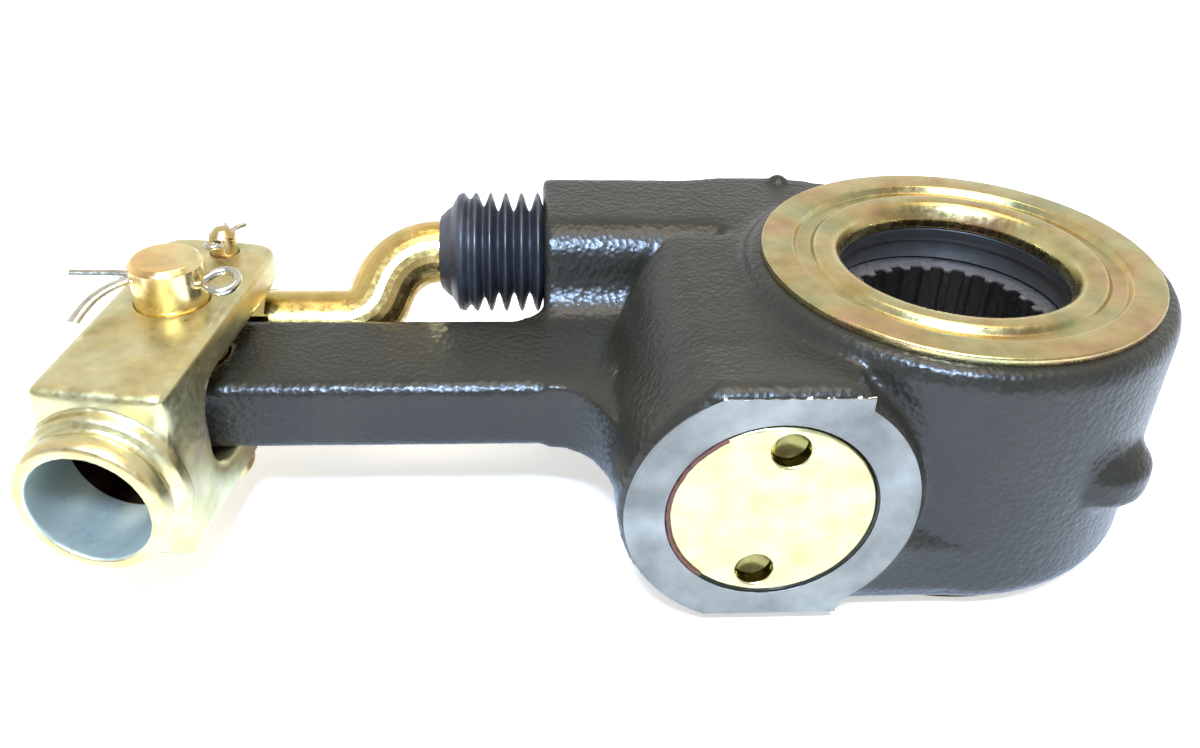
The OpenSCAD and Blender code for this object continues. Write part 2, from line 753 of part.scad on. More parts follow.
module boot() {
    wall = 1.2;
    tip = 0.3;
    inner = rod_r + 0.4;
    end = cuff_len + boot_len;
    color(rubber_black) on_rack_axis(cuff_end) rotate_extrude() polygon(concat(
        [[rod_r + run_fit, 0], [cuff_r, 0], [cuff_r + 0.4, 0.5]],
        [for (i = [0 : boot_ridges - 1]) each [
            [boot_r, ridge_at(i) - tip], [boot_r, ridge_at(i) + tip],
            if (i < boot_ridges - 1) [fold_r(i), (ridge_at(i) + ridge_at(i + 1)) / 2]]],
        [[boot_root_r, end - 1], [boot_root_r, end], [boot_root_r - wall, end]],
        [for (i = [boot_ridges - 1 : -1 : 2]) each [
            [boot_r - 2 * wall, ridge_at(i)],
            [inner, (ridge_at(i) + ridge_at(i - 1)) / 2]]],
        [[inner, cuff_len], [rod_r + run_fit, cuff_len - 0.5]]));
}

// Front bearing and plug

module end_plug() {
    groove_w = 2;
    groove_r = plug_r - 1.6;
    color(zinc_gold) difference() {
        on_worm_axis(-barrel_face) cylinder(h = plug_t, r = plug_r);
        for (side = [-1, 1])
            on_worm_axis(-barrel_face - 1) rotate([0, 0, spanner_turn])
                translate([0, side * spanner_span / 2, 0])
                    cylinder(h = spanner_depth + 1, r = spanner_d / 2);
        on_worm_axis(plug_back - 1.6 * groove_w) ring(plug_r + 1, groove_r, groove_w);
    }
}

module plug_seal() {
    cord_r = 0.8;
    color(rubber_black) on_worm_axis(plug_back - 2.2)
        rotate_extrude() translate([plug_r - cord_r, 0]) circle(r = cord_r, $fn = fine);
}

// Two disc springs, back to back
module pressure_spring() {
    inner_r = 8;
    outer_r = plug_r - 1;
    t = 1.3;
    half = disc_spring_t / 2;
    color(steel_grey) for (side = [0, 1])
        on_worm_axis(plug_back + half) mirror([0, 0, side]) rotate_extrude() polygon([
            [inner_r, half - t], [outer_r, eps], [outer_r, t], [inner_r, half - eps]]);
}

module outer_race() {
    color(steel_grey) on_worm_axis(race_front) ring(plug_r - 0.4, front_shaft_r + 0.5, race_t);
}

module bearing_balls() {
    count = 14;
    color(steel_grey) for (i = [0 : count - 1])
        on_worm_axis(race_front + race_t + ball_r) rotate([0, 0, 360 * i / count])
            translate([(plug_r + front_shaft_r) / 2, 0, 0])
                sphere(r = ball_r - run_fit / 2, $fn = fine);
}

module inner_race() {
    color(steel_grey) on_worm_axis(race_back - race_t)
        ring(plug_r - 1.6, front_shaft_r + run_fit, race_t - run_fit);
}

module worm_bushing() {
    color(bronze) on_worm_axis(pinion_cavity_back)
        ring(shaft_r + run_fit + bushing_wall, shaft_r + run_fit,
            case_back - pinion_cavity_back - hex_seal_t);
}

module hex_seal() {
    color(rubber_black) on_worm_axis(case_back - hex_seal_t)
        ring(shaft_r + run_fit + bushing_wall, shaft_r + run_fit, hex_seal_t);
}

// Hub: bushings, seals and covers

module hub_bushing(top_z) {
    translate([0, 0, bushing_start])
        ring(wheel_bore_r - run_fit, wheel_journal_r + run_fit, top_z - bushing_start);
}

// Rubber ring on the hub's end, with a lip that bulges in under the cover's rolled edge
module hub_seal(seat_z) {
    start = wheel_len / 2 + seal_gap;
    top = seat_z - seal_drop;
    outer = wheel_journal_r;
    wall = cover_hole_r + 1.55;
    lip = cover_hole_r + 0.3;
    lip_top = seat_z - cover_lip - 0.3;
    lip_h = 2.2;
    rotate_extrude() polygon([
        [wall, start], [outer, start], [outer, top], [wall + 0.9, top], [wall + 0.9, lip_top],
        [lip + 0.4, lip_top], [lip, lip_top - 0.6], [lip, lip_top - lip_h], [wall, lip_top - lip_h - 1]]);
}

// Pressed cover: flat flange, a groove, and a rolled lip round the hole
module cover(flange_r, seat_z) {
    top = seat_z + cover_t;
    hole = cover_hole_r;
    groove_out = hole + 8.6;
    groove_in = hole + 5.8;
    bead = hole + 3;
    drop = 1.3;
    lip_low = seat_z - cover_lip;
    under = seat_z - 1.1;
    rotate_extrude($fn = 128) polygon([
        [flange_r, seat_z], [flange_r, top - 0.5], [flange_r - 0.5, top], [groove_out + 0.6, top],
        [groove_out, top - drop], [groove_in, top - drop], [groove_in - 0.5, top - 0.5],
        [bead + 1.4, top - 0.1], [bead, top], [bead - 1.4, top - 0.5], [hole + 0.5, top - 1.6],
        [hole, top - 2.6], [hole, lip_low], [hole + 1.2, lip_low], [hole + 1.2, under],
        [hole + 1.9, seat_z - 0.3], [groove_in - 1.4, seat_z - 0.3], [groove_in - 0.6, under],
        [groove_out + 0.6, under], [groove_out + 1.2, seat_z]]);
}

module upper_bushing() {
    color(bronze) hub_bushing(rim_z - seal_drop);
}

module lower_bushing() {
    color(bronze) mirror([0, 0, 1]) hub_bushing(low_rim_z - seal_drop);
}

module upper_seal() {
    color(rubber_black) hub_seal(rim_z);
}

module lower_seal() {
    color(rubber_black) mirror([0, 0, 1]) hub_seal(low_rim_z);
}

module top_cover() {
    color(zinc_gold) cover(cover_r, rim_z);
}

module bottom_cover() {
    color(zinc_gold) mirror([0, 0, 1]) cover(low_cover_r, low_rim_z);
}

// Clevis

module clevis() {
    back_round = 4;
    slot_len = slot_front + 3 * ear_back;
    color(zinc_gold) at_clevis() difference() {
        union() {
            // fork, round at its back corners
            translate([0, 0, clevis_bottom]) linear_extrude(clevis_top - clevis_bottom) {
                translate([-clevis_w / 2, -block_front])
                    square([clevis_w, block_front + ear_back - back_round]);
                translate([-clevis_w / 2 + back_round, 0])
                    square([clevis_w - 2 * back_round, ear_back]);
                for (side = [-1, 1])
                    translate([side * (clevis_w / 2 - back_round), ear_back - back_round])
                        circle(r = back_round);
            }
            // neck with a step ring, a groove and a rounded rim
            translate([0, 0, clevis_mid]) rotate([90, 0, 0]) rotate_extrude() polygon([
                [0, block_front - 1], [neck_r + 0.9, block_front - 1],
                [neck_r + 0.9, block_front + 2.2], [neck_r + 0.2, block_front + 2.8],
                [neck_r - 0.9, block_front + 3], [neck_r - 0.9, block_front + 4.2],
                [neck_r, block_front + 4.8], [neck_r, neck_front - 1.4],
                [neck_r - 0.4, neck_front - 0.4], [neck_r - 1.4, neck_front],
                [0, neck_front]]);
        }
        // slot with a round crotch
        translate([-clevis_w, slot_len / 2 - slot_front, ear_low + slot_h / 2]) rotate([90, 0, 90])
            linear_extrude(2 * clevis_w) round_rect(slot_len, slot_h, crotch_r);
        // push rod bore
        translate([0, -slot_front + 1, clevis_mid]) rotate([90, 0, 0])
            cylinder(h = neck_front, r = neck_bore_r);
        // pin holes
        translate([0, 0, clevis_bottom - 1])
            cylinder(h = clevis_top - clevis_bottom + 2, r = pin_r + run_fit);
        translate([link_pin_x, link_pin_y, clevis_bottom - 1])
            cylinder(h = clevis_top - clevis_bottom + 2, r = link_pin_r + run_fit);
    }
}

module clevis_pin() {
    bevel = 1;
    low = clevis_bottom - pin_bottom_head;
    top = clevis_top + pin_tail;
    color(zinc_gold) at_clevis() difference() {
        union() {
            translate([0, 0, low]) cylinder(h = pin_bottom_head, r = pin_r + 3);
            translate([0, 0, low]) cylinder(h = top - low - bevel, r = pin_r);
            translate([0, 0, top - bevel]) cylinder(h = bevel, r1 = pin_r, r2 = pin_r - bevel);
        }
        translate([-pin_d, 0, cotter_z]) rotate([0, 90, 0])
            cylinder(h = 2 * pin_d, r = cotter_r + run_fit);
    }
}

// Round bar from one point to another
module strut(from, to, r) {
    way = to - from;
    translate(from) rotate([0, acos(way[2] / norm(way)), atan2(way[1], way[0])])
        cylinder(h = norm(way), r = r, $fn = fine);
}

// Split pin along X: an eye at +X, a straight shank, one leg straight out at -X and one folded aside
module cotter(r, pin_radius, eye_r, leg) {
    wire_r = 0.8 * r;
    out = pin_radius + 0.8 * r;
    color(steel_grey) {
        strut([-out, 0, 0], [out + wire_r, 0, 0], r);
        translate([out + eye_r + wire_r, 0, 0])
            rotate_extrude() translate([eye_r, 0]) circle(r = wire_r, $fn = fine);
        strut([-out, 0, 0], [-out - leg, 0, 0], wire_r);
        strut([-out, 0, 0], [-out - 0.35 * leg, -leg, -0.2 * leg], wire_r);
    }
}

module clevis_cotter() {
    at_clevis() translate([0, 0, cotter_z]) cotter(cotter_r, pin_r, cotter_eye_r, cotter_leg);
}

module link_pin() {
    head_t = 3;
    low = clevis_bottom - head_t;
    top = clevis_top + link_tail;
    dome = 1.2;
    color(zinc_gold) at_link_pin() difference() {
        union() {
            translate([0, 0, low]) cylinder(h = head_t, r = link_pin_r + 1.8);
            translate([0, 0, low]) cylinder(h = top - dome - low, r = link_pin_r);
            translate([0, 0, top - dome]) cylinder(h = dome, r1 = link_pin_r, r2 = link_pin_r - dome);
        }
        translate([0, link_pin_d, link_cotter_z]) rotate([90, 0, 0])
            cylinder(h = 2 * link_pin_d, r = link_cotter_r + run_fit, $fn = fine);
    }
}

// Stands with its eye to the front
module link_cotter() {
    at_link_pin() translate([0, 0, link_cotter_z]) rotate([0, 0, -90])
        cotter(link_cotter_r, link_pin_r, link_cotter_eye_r, link_cotter_leg);
}

// Grease fitting on the back of the drum

module grease_place() {
    rotate([0, 0, 60]) translate([drum_r, 0, 0]) rotate([0, 90, 0]) children();
}

module grease_fitting() {
    thread_in = 0.4 * grease_h;
    hex_top = 0.4 * grease_h;
    head = 0.8 * grease_h;
    sunk = 0.06 * grease_h;
    color(steel_grey) grease_place() {
        translate([0, 0, -thread_in])
            cylinder(h = thread_in + 2 * sunk, r = grease_r - run_fit, $fn = fine);
        translate([0, 0, sunk]) cylinder(h = hex_top - sunk, r = grease_hex / 2 / cos(30), $fn = 6);
        translate([0, 0, hex_top])
            cylinder(h = head - hex_top, r1 = 1.2 * grease_r, r2 = 0.88 * grease_r, $fn = fine);
        translate([0, 0, head])
            cylinder(h = grease_h - head, r1 = 1.24 * grease_r, r2 = 0.8 * grease_r, $fn = fine);
    }
}

housing();
arm_bushing();
worm_wheel();
worm();
pinion();
clutch_spring();
end_plug();
plug_seal();
pressure_spring();
outer_race();
bearing_balls();
inner_race();
worm_bushing();
hex_seal();
upper_bushing();
lower_bushing();
upper_seal();
lower_seal();
top_cover();
bottom_cover();
rack();
rack_pin();
rack_bush();
link_rod();
boot();
clevis();
clevis_pin();
clevis_cotter();
link_pin();
link_cotter();
grease_fitting();
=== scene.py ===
import json
import math

import bmesh
import bpy
from mathutils import Matrix, Vector, noise


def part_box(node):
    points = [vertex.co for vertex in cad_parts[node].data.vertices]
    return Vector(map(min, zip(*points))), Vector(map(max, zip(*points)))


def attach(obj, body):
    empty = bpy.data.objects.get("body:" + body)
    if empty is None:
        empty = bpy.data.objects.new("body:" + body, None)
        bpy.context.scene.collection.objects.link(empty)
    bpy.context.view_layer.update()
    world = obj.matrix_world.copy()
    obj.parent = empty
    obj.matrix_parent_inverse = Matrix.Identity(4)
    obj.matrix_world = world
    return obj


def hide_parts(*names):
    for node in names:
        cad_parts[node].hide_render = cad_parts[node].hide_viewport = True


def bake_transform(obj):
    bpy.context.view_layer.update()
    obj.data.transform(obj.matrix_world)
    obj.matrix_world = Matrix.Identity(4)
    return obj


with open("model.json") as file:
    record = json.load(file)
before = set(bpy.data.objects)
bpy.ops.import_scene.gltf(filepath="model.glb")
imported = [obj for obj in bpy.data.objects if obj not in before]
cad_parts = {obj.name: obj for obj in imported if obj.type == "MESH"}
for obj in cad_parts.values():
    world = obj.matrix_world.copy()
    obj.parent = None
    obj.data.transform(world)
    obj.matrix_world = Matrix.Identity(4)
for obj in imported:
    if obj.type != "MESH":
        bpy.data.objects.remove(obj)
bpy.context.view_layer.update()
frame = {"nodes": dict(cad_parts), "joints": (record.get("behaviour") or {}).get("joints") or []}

# Places and sizes from the frame, in metres
MM = 0.001
NODES = frame["nodes"]
JOINTS = {joint["name"]: joint for joint in frame["joints"]}
WORM_AXIS = Vector(JOINTS["worm_spin"]["pos_m"])
CLEVIS_PIN = Vector(JOINTS["clevis_swing"]["pos_m"])


def middle(node):
    """Middle of a CAD piece's box."""
    low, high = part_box(node)
    return (low + high) / 2


def size(node):
    """Extents of a CAD piece's box."""
    low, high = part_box(node)
    return high - low


FACE_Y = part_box("end_plug")[0].y
PLUG_R = size("end_plug").x / 2
COVER_LOW, COVER_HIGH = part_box("top_cover")
LOW_COVER_LOW, LOW_COVER_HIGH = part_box("bottom_cover")
BOOT_LOW, BOOT_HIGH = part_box("boot")
RACK_AXIS = middle("boot")
ROD_R = size("rack").y / 2
TOP_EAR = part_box("clevis")[1].z

# Sizes of the part that the frame does not give
CLEVIS_TURN = math.radians(-9)
SPLINE_R = 19 * MM
PUSH_ROD_BORE_R = 10 * MM
FACE_HALF_FLAT = 22.3 * MM


# Materials

def linear(hex_colour):
    """sRGB hex to a linear colour with full alpha."""
    channels = [int(hex_colour[i:i + 2], 16) / 255 for i in (1, 3, 5)]
    return tuple(c / 12.92 if c <= 0.04045 else ((c + 0.055) / 1.055) ** 2.4 for c in channels) + (1.0,)


def add(tree, kind, settings=None, **inputs):
    """One node with its settings. An input is given by its name, or by its number after an underscore,
    and its value is a socket to link or a plain number."""
    made = tree.nodes.new(kind)
    for key, value in (settings or {}).items():
        if isinstance(key, str) and hasattr(made, key):
            setattr(made, key, value)
        else:
            made.inputs[key].default_value = value
    for key, source in inputs.items():
        socket = made.inputs[int(key[1:])] if key[0] == "_" else made.inputs[key.replace("_", " ")]
        if isinstance(source, (int, float)):
            socket.default_value = source
        else:
            tree.links.new(source, socket)
    return made


def maths(tree, operation, *values):
    """Result of a Math node on one or two values, each a socket or a number."""
    inputs = {f"_{number}": value for number, value in enumerate(values)}
    return add(tree, "ShaderNodeMath", {"operation": operation}, **inputs).outputs[0]


def feed(tree, shader, **sources):
    """Links sources to the shader's inputs by name."""
    for key, source in sources.items():
        tree.links.new(source, shader.inputs[key.replace("_", " ")])


def ramp(tree, source, stops):
    """Colour ramp of (place, hex) stops."""
    made = add(tree, "ShaderNodeValToRGB", None, Fac=source)
    marks = made.color_ramp.elements
    while len(marks) < len(stops):
        marks.new(0.5)
    for mark, (place, colour) in zip(marks, stops):
        mark.position = place
        mark.color = linear(colour)
    return made.outputs["Color"]


def new_material(name, **constants):
    """Principled material with constants on its sockets; gives the material, its tree and its shader."""
    material = bpy.data.materials.new(name)
    material.use_nodes = True
    tree = material.node_tree
    shader = tree.nodes["Principled BSDF"]
    for key, value in constants.items():
        shader.inputs[key.replace("_", " ")].default_value = value
    return material, tree, shader


def per_mm(grain_mm):
    """Noise scale at which one grain is about grain_mm across, on Object coordinates in metres."""
    return 1 / (grain_mm * MM)


def object_place(tree):
    """Object coordinates."""
    return add(tree, "ShaderNodeTexCoord").outputs["Object"]


def grain(tree, grain_mm, detail=2.0, rough=0.5, place=None):
    """Noise with grains of about that size."""
    made = add(tree, "ShaderNodeTexNoise", {"Scale": per_mm(grain_mm), "Detail": detail, "Roughness": rough},
               Vector=place or object_place(tree))
    return made.outputs["Fac"]


def spread(tree, source, low, high):
    """A noise or mask, from low where it is under 0.3 to high where it is over 0.7."""
    limits = {"From Min": 0.3, "From Max": 0.7, "To Min": low, "To Max": high}
    return add(tree, "ShaderNodeMapRange", limits, Value=source).outputs["Result"]


def bump(tree, height, depth_mm, before=None):
    """Normal bumped by a height, on top of an earlier bump if one is given."""
    made = add(tree, "ShaderNodeBump", {"Strength": 1.0, "Distance": depth_mm * MM}, Height=height)
    if before is not None:
        tree.links.new(before, made.inputs["Normal"])
    return made.outputs["Normal"]


def black_paint_on_sand_casting():
    """Thin semi-gloss black enamel over a sand casting: the sand's grain shows through as glints."""
    material, tree, shader = new_material("black_paint_on_sand_casting", Specular_IOR_Level=0.34)
    dust = grain(tree, 0.7, 3.0, 0.65)
    sand = add(tree, "ShaderNodeTexVoronoi", {"feature": "SMOOTH_F1", "Scale": per_mm(1.1), "Smoothness": 0.2},
               Vector=object_place(tree)).outputs["Distance"]
    patches = grain(tree, 16, 3.0, 0.6)
    feed(tree, shader, Base_Color=ramp(tree, patches, [(0.3, "#1e1c16"), (0.7, "#27241c")]),
         Roughness=spread(tree, dust, 0.25, 0.4), Normal=bump(tree, dust, 0.03, bump(tree, sand, 0.115)))
    return material


def face_turned_iron():
    """Bare iron faced on a lathe: fine rings round the worm axis and a soft grey sheen."""
    material, tree, shader = new_material("face_turned_iron", Metallic=1.0, Anisotropic=0.75)
    place = add(tree, "ShaderNodeMapping", {"Location": tuple(-WORM_AXIS)},
                Vector=object_place(tree)).outputs["Vector"]
    lay = add(tree, "ShaderNodeVectorMath", {"operation": "CROSS_PRODUCT", 1: (0, 1, 0)}, _0=place).outputs["Vector"]
    flat = add(tree, "ShaderNodeMapping", {"Scale": (1, 0, 1)}, Vector=place).outputs["Vector"]
    radius = add(tree, "ShaderNodeVectorMath", {"operation": "LENGTH"}, _0=flat).outputs["Value"]
    as_rings = add(tree, "ShaderNodeCombineXYZ", None, X=radius).outputs["Vector"]
    rings = grain(tree, 0.5, 2.0, 0.6, as_rings)
    cloud = grain(tree, 9, 3.0, 0.6)
    feed(tree, shader, Tangent=lay, Base_Color=ramp(tree, cloud, [(0.3, "#6f6f6a"), (0.7, "#93928b")]),
         Roughness=spread(tree, rings, 0.34, 0.52), Normal=bump(tree, rings, 0.02))
    return material


def blended(tree, first, second, share, mode="MIX"):
    """Two colours mixed; the share of the second is a number or a socket."""
    made = add(tree, "ShaderNodeMix", {"data_type": "RGBA", "blend_type": mode}, _0=share, _6=first, _7=second)
    return made.outputs[2]


def step_down(tree, source, start_mm, end_mm):
    """1 below the start, 0 above the end; the source is a distance in metres."""
    limits = {"From Min": start_mm * MM, "From Max": end_mm * MM, "To Min": 1.0, "To Max": 0.0}
    return add(tree, "ShaderNodeMapRange", limits, Value=source).outputs["Result"]


def chromate_film(tree, pale, warm, green, pink):
    """Colour of a yellow chromate film: pale gold that drifts to green and pink with the film's thickness."""
    gold = ramp(tree, grain(tree, 14, 2.5, 0.55), [(0.28, green), (0.45, pale), (0.58, warm), (0.74, pink)])
    worn = ramp(tree, grain(tree, 5, 2.0, 0.5), [(0.35, "#ffffff"), (0.7, "#e4dfd2")])
    return blended(tree, gold, worn, 1.0, "MULTIPLY")


def zinc_skin(tree, shader, roughness):
    """Fine scuffs of plated steel, on the shader's roughness and normal."""
    scuff = grain(tree, 1.4, 3.0, 0.6)
    feed(tree, shader, Roughness=spread(tree, scuff, roughness - 0.06, roughness + 0.1),
         Normal=bump(tree, grain(tree, 0.9), 0.012))


def yellow_zinc(name, pale, warm, green, pink, roughness):
    """Zinc plate with a yellow chromate film: an uneven pale gold sheen."""
    material, tree, shader = new_material(name, Metallic=1.0)
    feed(tree, shader, Base_Color=chromate_film(tree, pale, warm, green, pink))
    zinc_skin(tree, shader, roughness)
    return material


def zinc_plated_forging():
    """Satin yellow zinc on a forging, a warmer gold on the neck's rim. In the bore, near the mouth, a pale and less
    metallic bare lining, its paleness partly painted light;
    deeper in, dark brown as painted shade. Distances are along the neck, in mm from the clevis pin."""
    rim, painted_shade_start, slot_end = (-38.2, -36.8), (-25.1, -24.8), (-12.5, -11.5)
    bore_wall = [PUSH_ROD_BORE_R / MM + skin for skin in (0.05, 0.4)]
    material, tree, shader = new_material("zinc_plated_forging", Metallic=1.0)
    pin = Matrix.Rotation(-CLEVIS_TURN, 4, "Z") @ CLEVIS_PIN
    place = add(tree, "ShaderNodeMapping", {"Rotation": (0, 0, -CLEVIS_TURN), "Location": tuple(-pin)},
                Vector=object_place(tree)).outputs["Vector"]
    along = add(tree, "ShaderNodeSeparateXYZ", None, Vector=place).outputs["Y"]
    to_bore = {"Scale": (1, 0, 1), "Location": (0, 0, -middle("clevis").z)}
    across = add(tree, "ShaderNodeMapping", to_bore, Vector=place).outputs["Vector"]
    radius = add(tree, "ShaderNodeVectorMath", {"operation": "LENGTH"}, _0=across).outputs["Value"]
    in_bore = maths(tree, "MULTIPLY", step_down(tree, radius, *bore_wall), step_down(tree, along, *slot_end))
    in_mouth = step_down(tree, along, *painted_shade_start)
    plate_colour = chromate_film(tree, "#d8cfa2", "#dccf98", "#c9cb9c", "#dcc6ac")
    rim_colour = chromate_film(tree, "#dcc894", "#dfc88a", "#d4ca94", "#dcc094")
    # Bore colour: pale greenish grey near the mouth, partly painted light; dark brown deeper in, painted shade.
    bore_colour = ramp(tree, in_mouth, [(0.0, "#2a1a14"), (1.0, "#c6cfc4")])
    outside = blended(tree, plate_colour, rim_colour, step_down(tree, along, *rim))
    dull = maths(tree, "MULTIPLY", in_bore, in_mouth)
    feed(tree, shader, Base_Color=blended(tree, outside, bore_colour, in_bore),
         Metallic=spread(tree, dull, 1.0, 0.76))
    zinc_skin(tree, shader, 0.33)
    return material


def bright_steel(name, colour_low, colour_high, roughness):
    """Drawn or ground steel with a thin film of oil."""
    material, tree, shader = new_material(name, Metallic=1.0)
    cloud = grain(tree, 4, 3.0, 0.6)
    feed(tree, shader, Base_Color=ramp(tree, cloud, [(0.3, colour_low), (0.7, colour_high)]),
         Roughness=spread(tree, grain(tree, 0.8), roughness - 0.06, roughness + 0.08),
         Normal=bump(tree, grain(tree, 0.5), 0.008))
    return material


def spline_steel_painted_light_and_shade():
    """Hub of the worm wheel: light steel on its end faces as painted light, dark down in the splines as painted
    shade.
    """
    material, tree, shader = new_material("spline_steel_painted_light_and_shade", Metallic=1.0)
    end_face = size("worm_wheel").z / 2 / MM
    height = add(tree, "ShaderNodeSeparateXYZ", None, Vector=object_place(tree)).outputs["Z"]
    from_middle = maths(tree, "ABSOLUTE", height)
    # Light colour on the end faces is painted light; the dark colour down in the splines is painted shade.
    in_splines = step_down(tree, from_middle, end_face - 0.5, end_face - 0.1)
    feed(tree, shader, Base_Color=ramp(tree, in_splines, [(0.0, "#ccc4bc"), (1.0, "#625b57")]),
         Roughness=spread(tree, grain(tree, 0.8), 0.36, 0.5))
    return material


def moulded_rubber(name, colour_low, colour_high, roughness):
    """Moulded black rubber, satin, with a faint bloom."""
    material, tree, shader = new_material(name, IOR=1.52)
    bloom = grain(tree, 6, 3.0, 0.6)
    feed(tree, shader, Base_Color=ramp(tree, bloom, [(0.35, colour_low), (0.75, colour_high)]),
         Roughness=spread(tree, grain(tree, 1.2), roughness - 0.05, roughness + 0.1),
         Normal=bump(tree, grain(tree, 0.4), 0.01))
    return material


def dried_sealant():
    """Dark red thread sealant, squeezed out and dried."""
    material, tree, shader = new_material("dried_sealant")
    crumbs = grain(tree, 0.8, 3.0, 0.6)
    feed(tree, shader, Base_Color=ramp(tree, crumbs, [(0.3, "#3a1a14"), (0.7, "#6b3a2a")]),
         Roughness=spread(tree, crumbs, 0.55, 0.8), Normal=bump(tree, crumbs, 0.1))
    return material


CASTING = black_paint_on_sand_casting()
FACED = face_turned_iron()
ZINC = yellow_zinc("yellow_zinc_plate", "#c4b886", "#c9b07a", "#aeb084", "#c39f86", 0.25)
CLEVIS_ZINC = zinc_plated_forging()
PIN_ZINC = yellow_zinc("bright_yellow_zinc", "#f8dea4", "#f9d48c", "#ecdfa4", "#f8c89c", 0.2)
PLUG_ZINC = yellow_zinc("pale_yellow_zinc_plate", "#d2c996", "#d3c994", "#cdca96", "#d1c498", 0.36)
# Darker olive zinc for the spanner holes' walls and drill cones: painted shade inside the holes.
HOLE_ZINC_PAINTED_SHADE = yellow_zinc("zinc_drilling_painted_shade", "#8a8250", "#928252", "#787c50", "#947c54", 0.17)
LINK_ZINC = yellow_zinc("deep_yellow_zinc_rod", "#e4c982", "#eac97a", "#ceb874", "#daac72", 0.22)
COTTER_STEEL = bright_steel("bright_cotter_steel", "#b9b4a6", "#dcd8cc", 0.22)
GEAR_STEEL = bright_steel("oiled_gear_steel", "#7a756f", "#98928b", 0.42)
SPLINE_STEEL = spline_steel_painted_light_and_shade()
BRONZE = bright_steel("turned_bronze", "#8a6a3a", "#a98548", 0.34)
RUBBER = moulded_rubber("satin_boot_rubber", "#28282b", "#36363b", 0.34)
SEAL_RUBBER = moulded_rubber("seal_lip_rubber", "#1d1c1c", "#272625", 0.45)
SEALANT = dried_sealant()


# Shapes

def put(name, data):
    """A new object in the scene."""
    made = bpy.data.objects.new(name, data)
    bpy.context.scene.collection.objects.link(made)
    return made


def paint(mesh, material):
    """Gives the whole mesh one material."""
    mesh.materials.clear()
    mesh.materials.append(material)


def link_object(name, mesh, material):
    """A new object of one material in the scene."""
    made = put(name, mesh)
    paint(mesh, material)
    return made


def shade(mesh, sharp_degrees=35):
    """Smooth shading that keeps edges sharper than that angle."""
    mesh.polygons.foreach_set("use_smooth", [True] * len(mesh.polygons))
    mesh.set_sharp_from_angle(angle=math.radians(sharp_degrees))


def flatten(made):
    """The object's evaluated shape as a plain mesh with no modifiers."""
    graph = bpy.context.evaluated_depsgraph_get()
    mesh = bpy.data.meshes.new_from_object(made.evaluated_get(graph))
    made.modifiers.clear()
    if made.type == "MESH":
        made.data = mesh
        return made
    plain = link_object(made.name + "_mesh", mesh, made.data.materials[0])
    plain.matrix_world = made.matrix_world
    name = made.name
    bpy.data.objects.remove(made)
    plain.name = name
    return plain


def settle(made, place):
    """Moves a shape into place and leaves its object at the origin."""
    made.data.transform(place)
    made.data.update()
    return made


def in_mm(points):
    """Points given in mm, as vectors in metres."""
    return [Vector(point) * MM for point in points]


def rounded(points, radius, steps=5):
    """Closed outline with every corner turned into an arc of about that radius, or of the corner's own
    radius where a point has a third value."""
    outline = []
    count = len(points)
    for i, point in enumerate(points):
        here = Vector(point[:2])
        before = Vector(points[i - 1][:2]) - here
        after = Vector(points[(i + 1) % count][:2]) - here
        own = point[2] if len(point) > 2 else radius
        half = before.angle(after) / 2
        reach = min(own / math.tan(half) if half > 1e-3 else 0, 0.49 * before.length, 0.49 * after.length)
        if reach < 1e-7:
            outline.append(here)
            continue
        first = here + before.normalized() * reach
        last = here + after.normalized() * reach
        for k in range(steps + 1):
            t = k / steps
            outline.append(first * (1 - t) ** 2 + here * 2 * t * (1 - t) + last * t ** 2)
    return outline


def revolve(name, outline, material, segments):
    """Solid of revolution about Z from a closed (radius, height) outline in metres."""
    shape = bmesh.new()
    rings = []
    for k in range(segments):
        turn = 2 * math.pi * k / segments
        rings.append([shape.verts.new((p[0] * math.cos(turn), p[0] * math.sin(turn), p[1])) for p in outline])
    count = len(outline)
    for k in range(segments):
        now, later = rings[k], rings[(k + 1) % segments]
        for i in range(count):
            j = (i + 1) % count
            shape.faces.new((now[i], later[i], later[j], now[j]))
    bmesh.ops.remove_doubles(shape, verts=shape.verts, dist=1e-7)
    bmesh.ops.recalc_face_normals(shape, faces=shape.faces)
    mesh = bpy.data.meshes.new(name)
    shape.to_mesh(mesh)
    shape.free()
    shade(mesh)
    return link_object(name, mesh, material)


def plate(name, outlines, thickness, edge, material):
    """Flat plate in XY, centred on Z = 0, with holes and rounded edges; the first outline is the outer one."""
    curve = bpy.data.curves.new(name, "CURVE")
    curve.dimensions = "2D"
    curve.fill_mode = "BOTH"
    curve.extrude = thickness / 2 - edge
    curve.bevel_depth = edge
    curve.bevel_resolution = 2
    curve.offset = -edge
    for outline in outlines:
        spline = curve.splines.new("POLY")
        spline.points.add(len(outline) - 1)
        for point, place in zip(spline.points, outline):
            point.co = (place[0], place[1], 0, 1)
        spline.use_cyclic_u = True
    curve.materials.append(material)
    made = flatten(put(name, curve))
    shade(made.data, 30)
    return made


def arc(centre, radius, start, end, count):
    """Points of an arc, in degrees."""
    turns = [math.radians(start + (end - start) * k / (count - 1)) for k in range(count)]
    return [(centre[0] + radius * math.cos(t), centre[1] + radius * math.sin(t)) for t in turns]


def circle(centre, radius, count):
    """Points of a whole circle."""
    return arc(centre, radius, 0, 360 - 360 / count, count)


def wire(name, points, radius, material, sides=12):
    """Round wire on a smooth line through points, with its ends closed."""
    curve = bpy.data.curves.new(name, "CURVE")
    curve.dimensions = "3D"
    curve.bevel_depth = radius
    curve.bevel_resolution = sides // 4
    curve.use_fill_caps = True
    curve.resolution_u = 8
    spline = curve.splines.new("BEZIER")
    spline.bezier_points.add(len(points) - 1)
    for point, place in zip(spline.bezier_points, points):
        point.co = place
        point.handle_left_type = point.handle_right_type = "AUTO"
    curve.materials.append(material)
    made = flatten(put(name, curve))
    shade(made.data, 50)
    return made


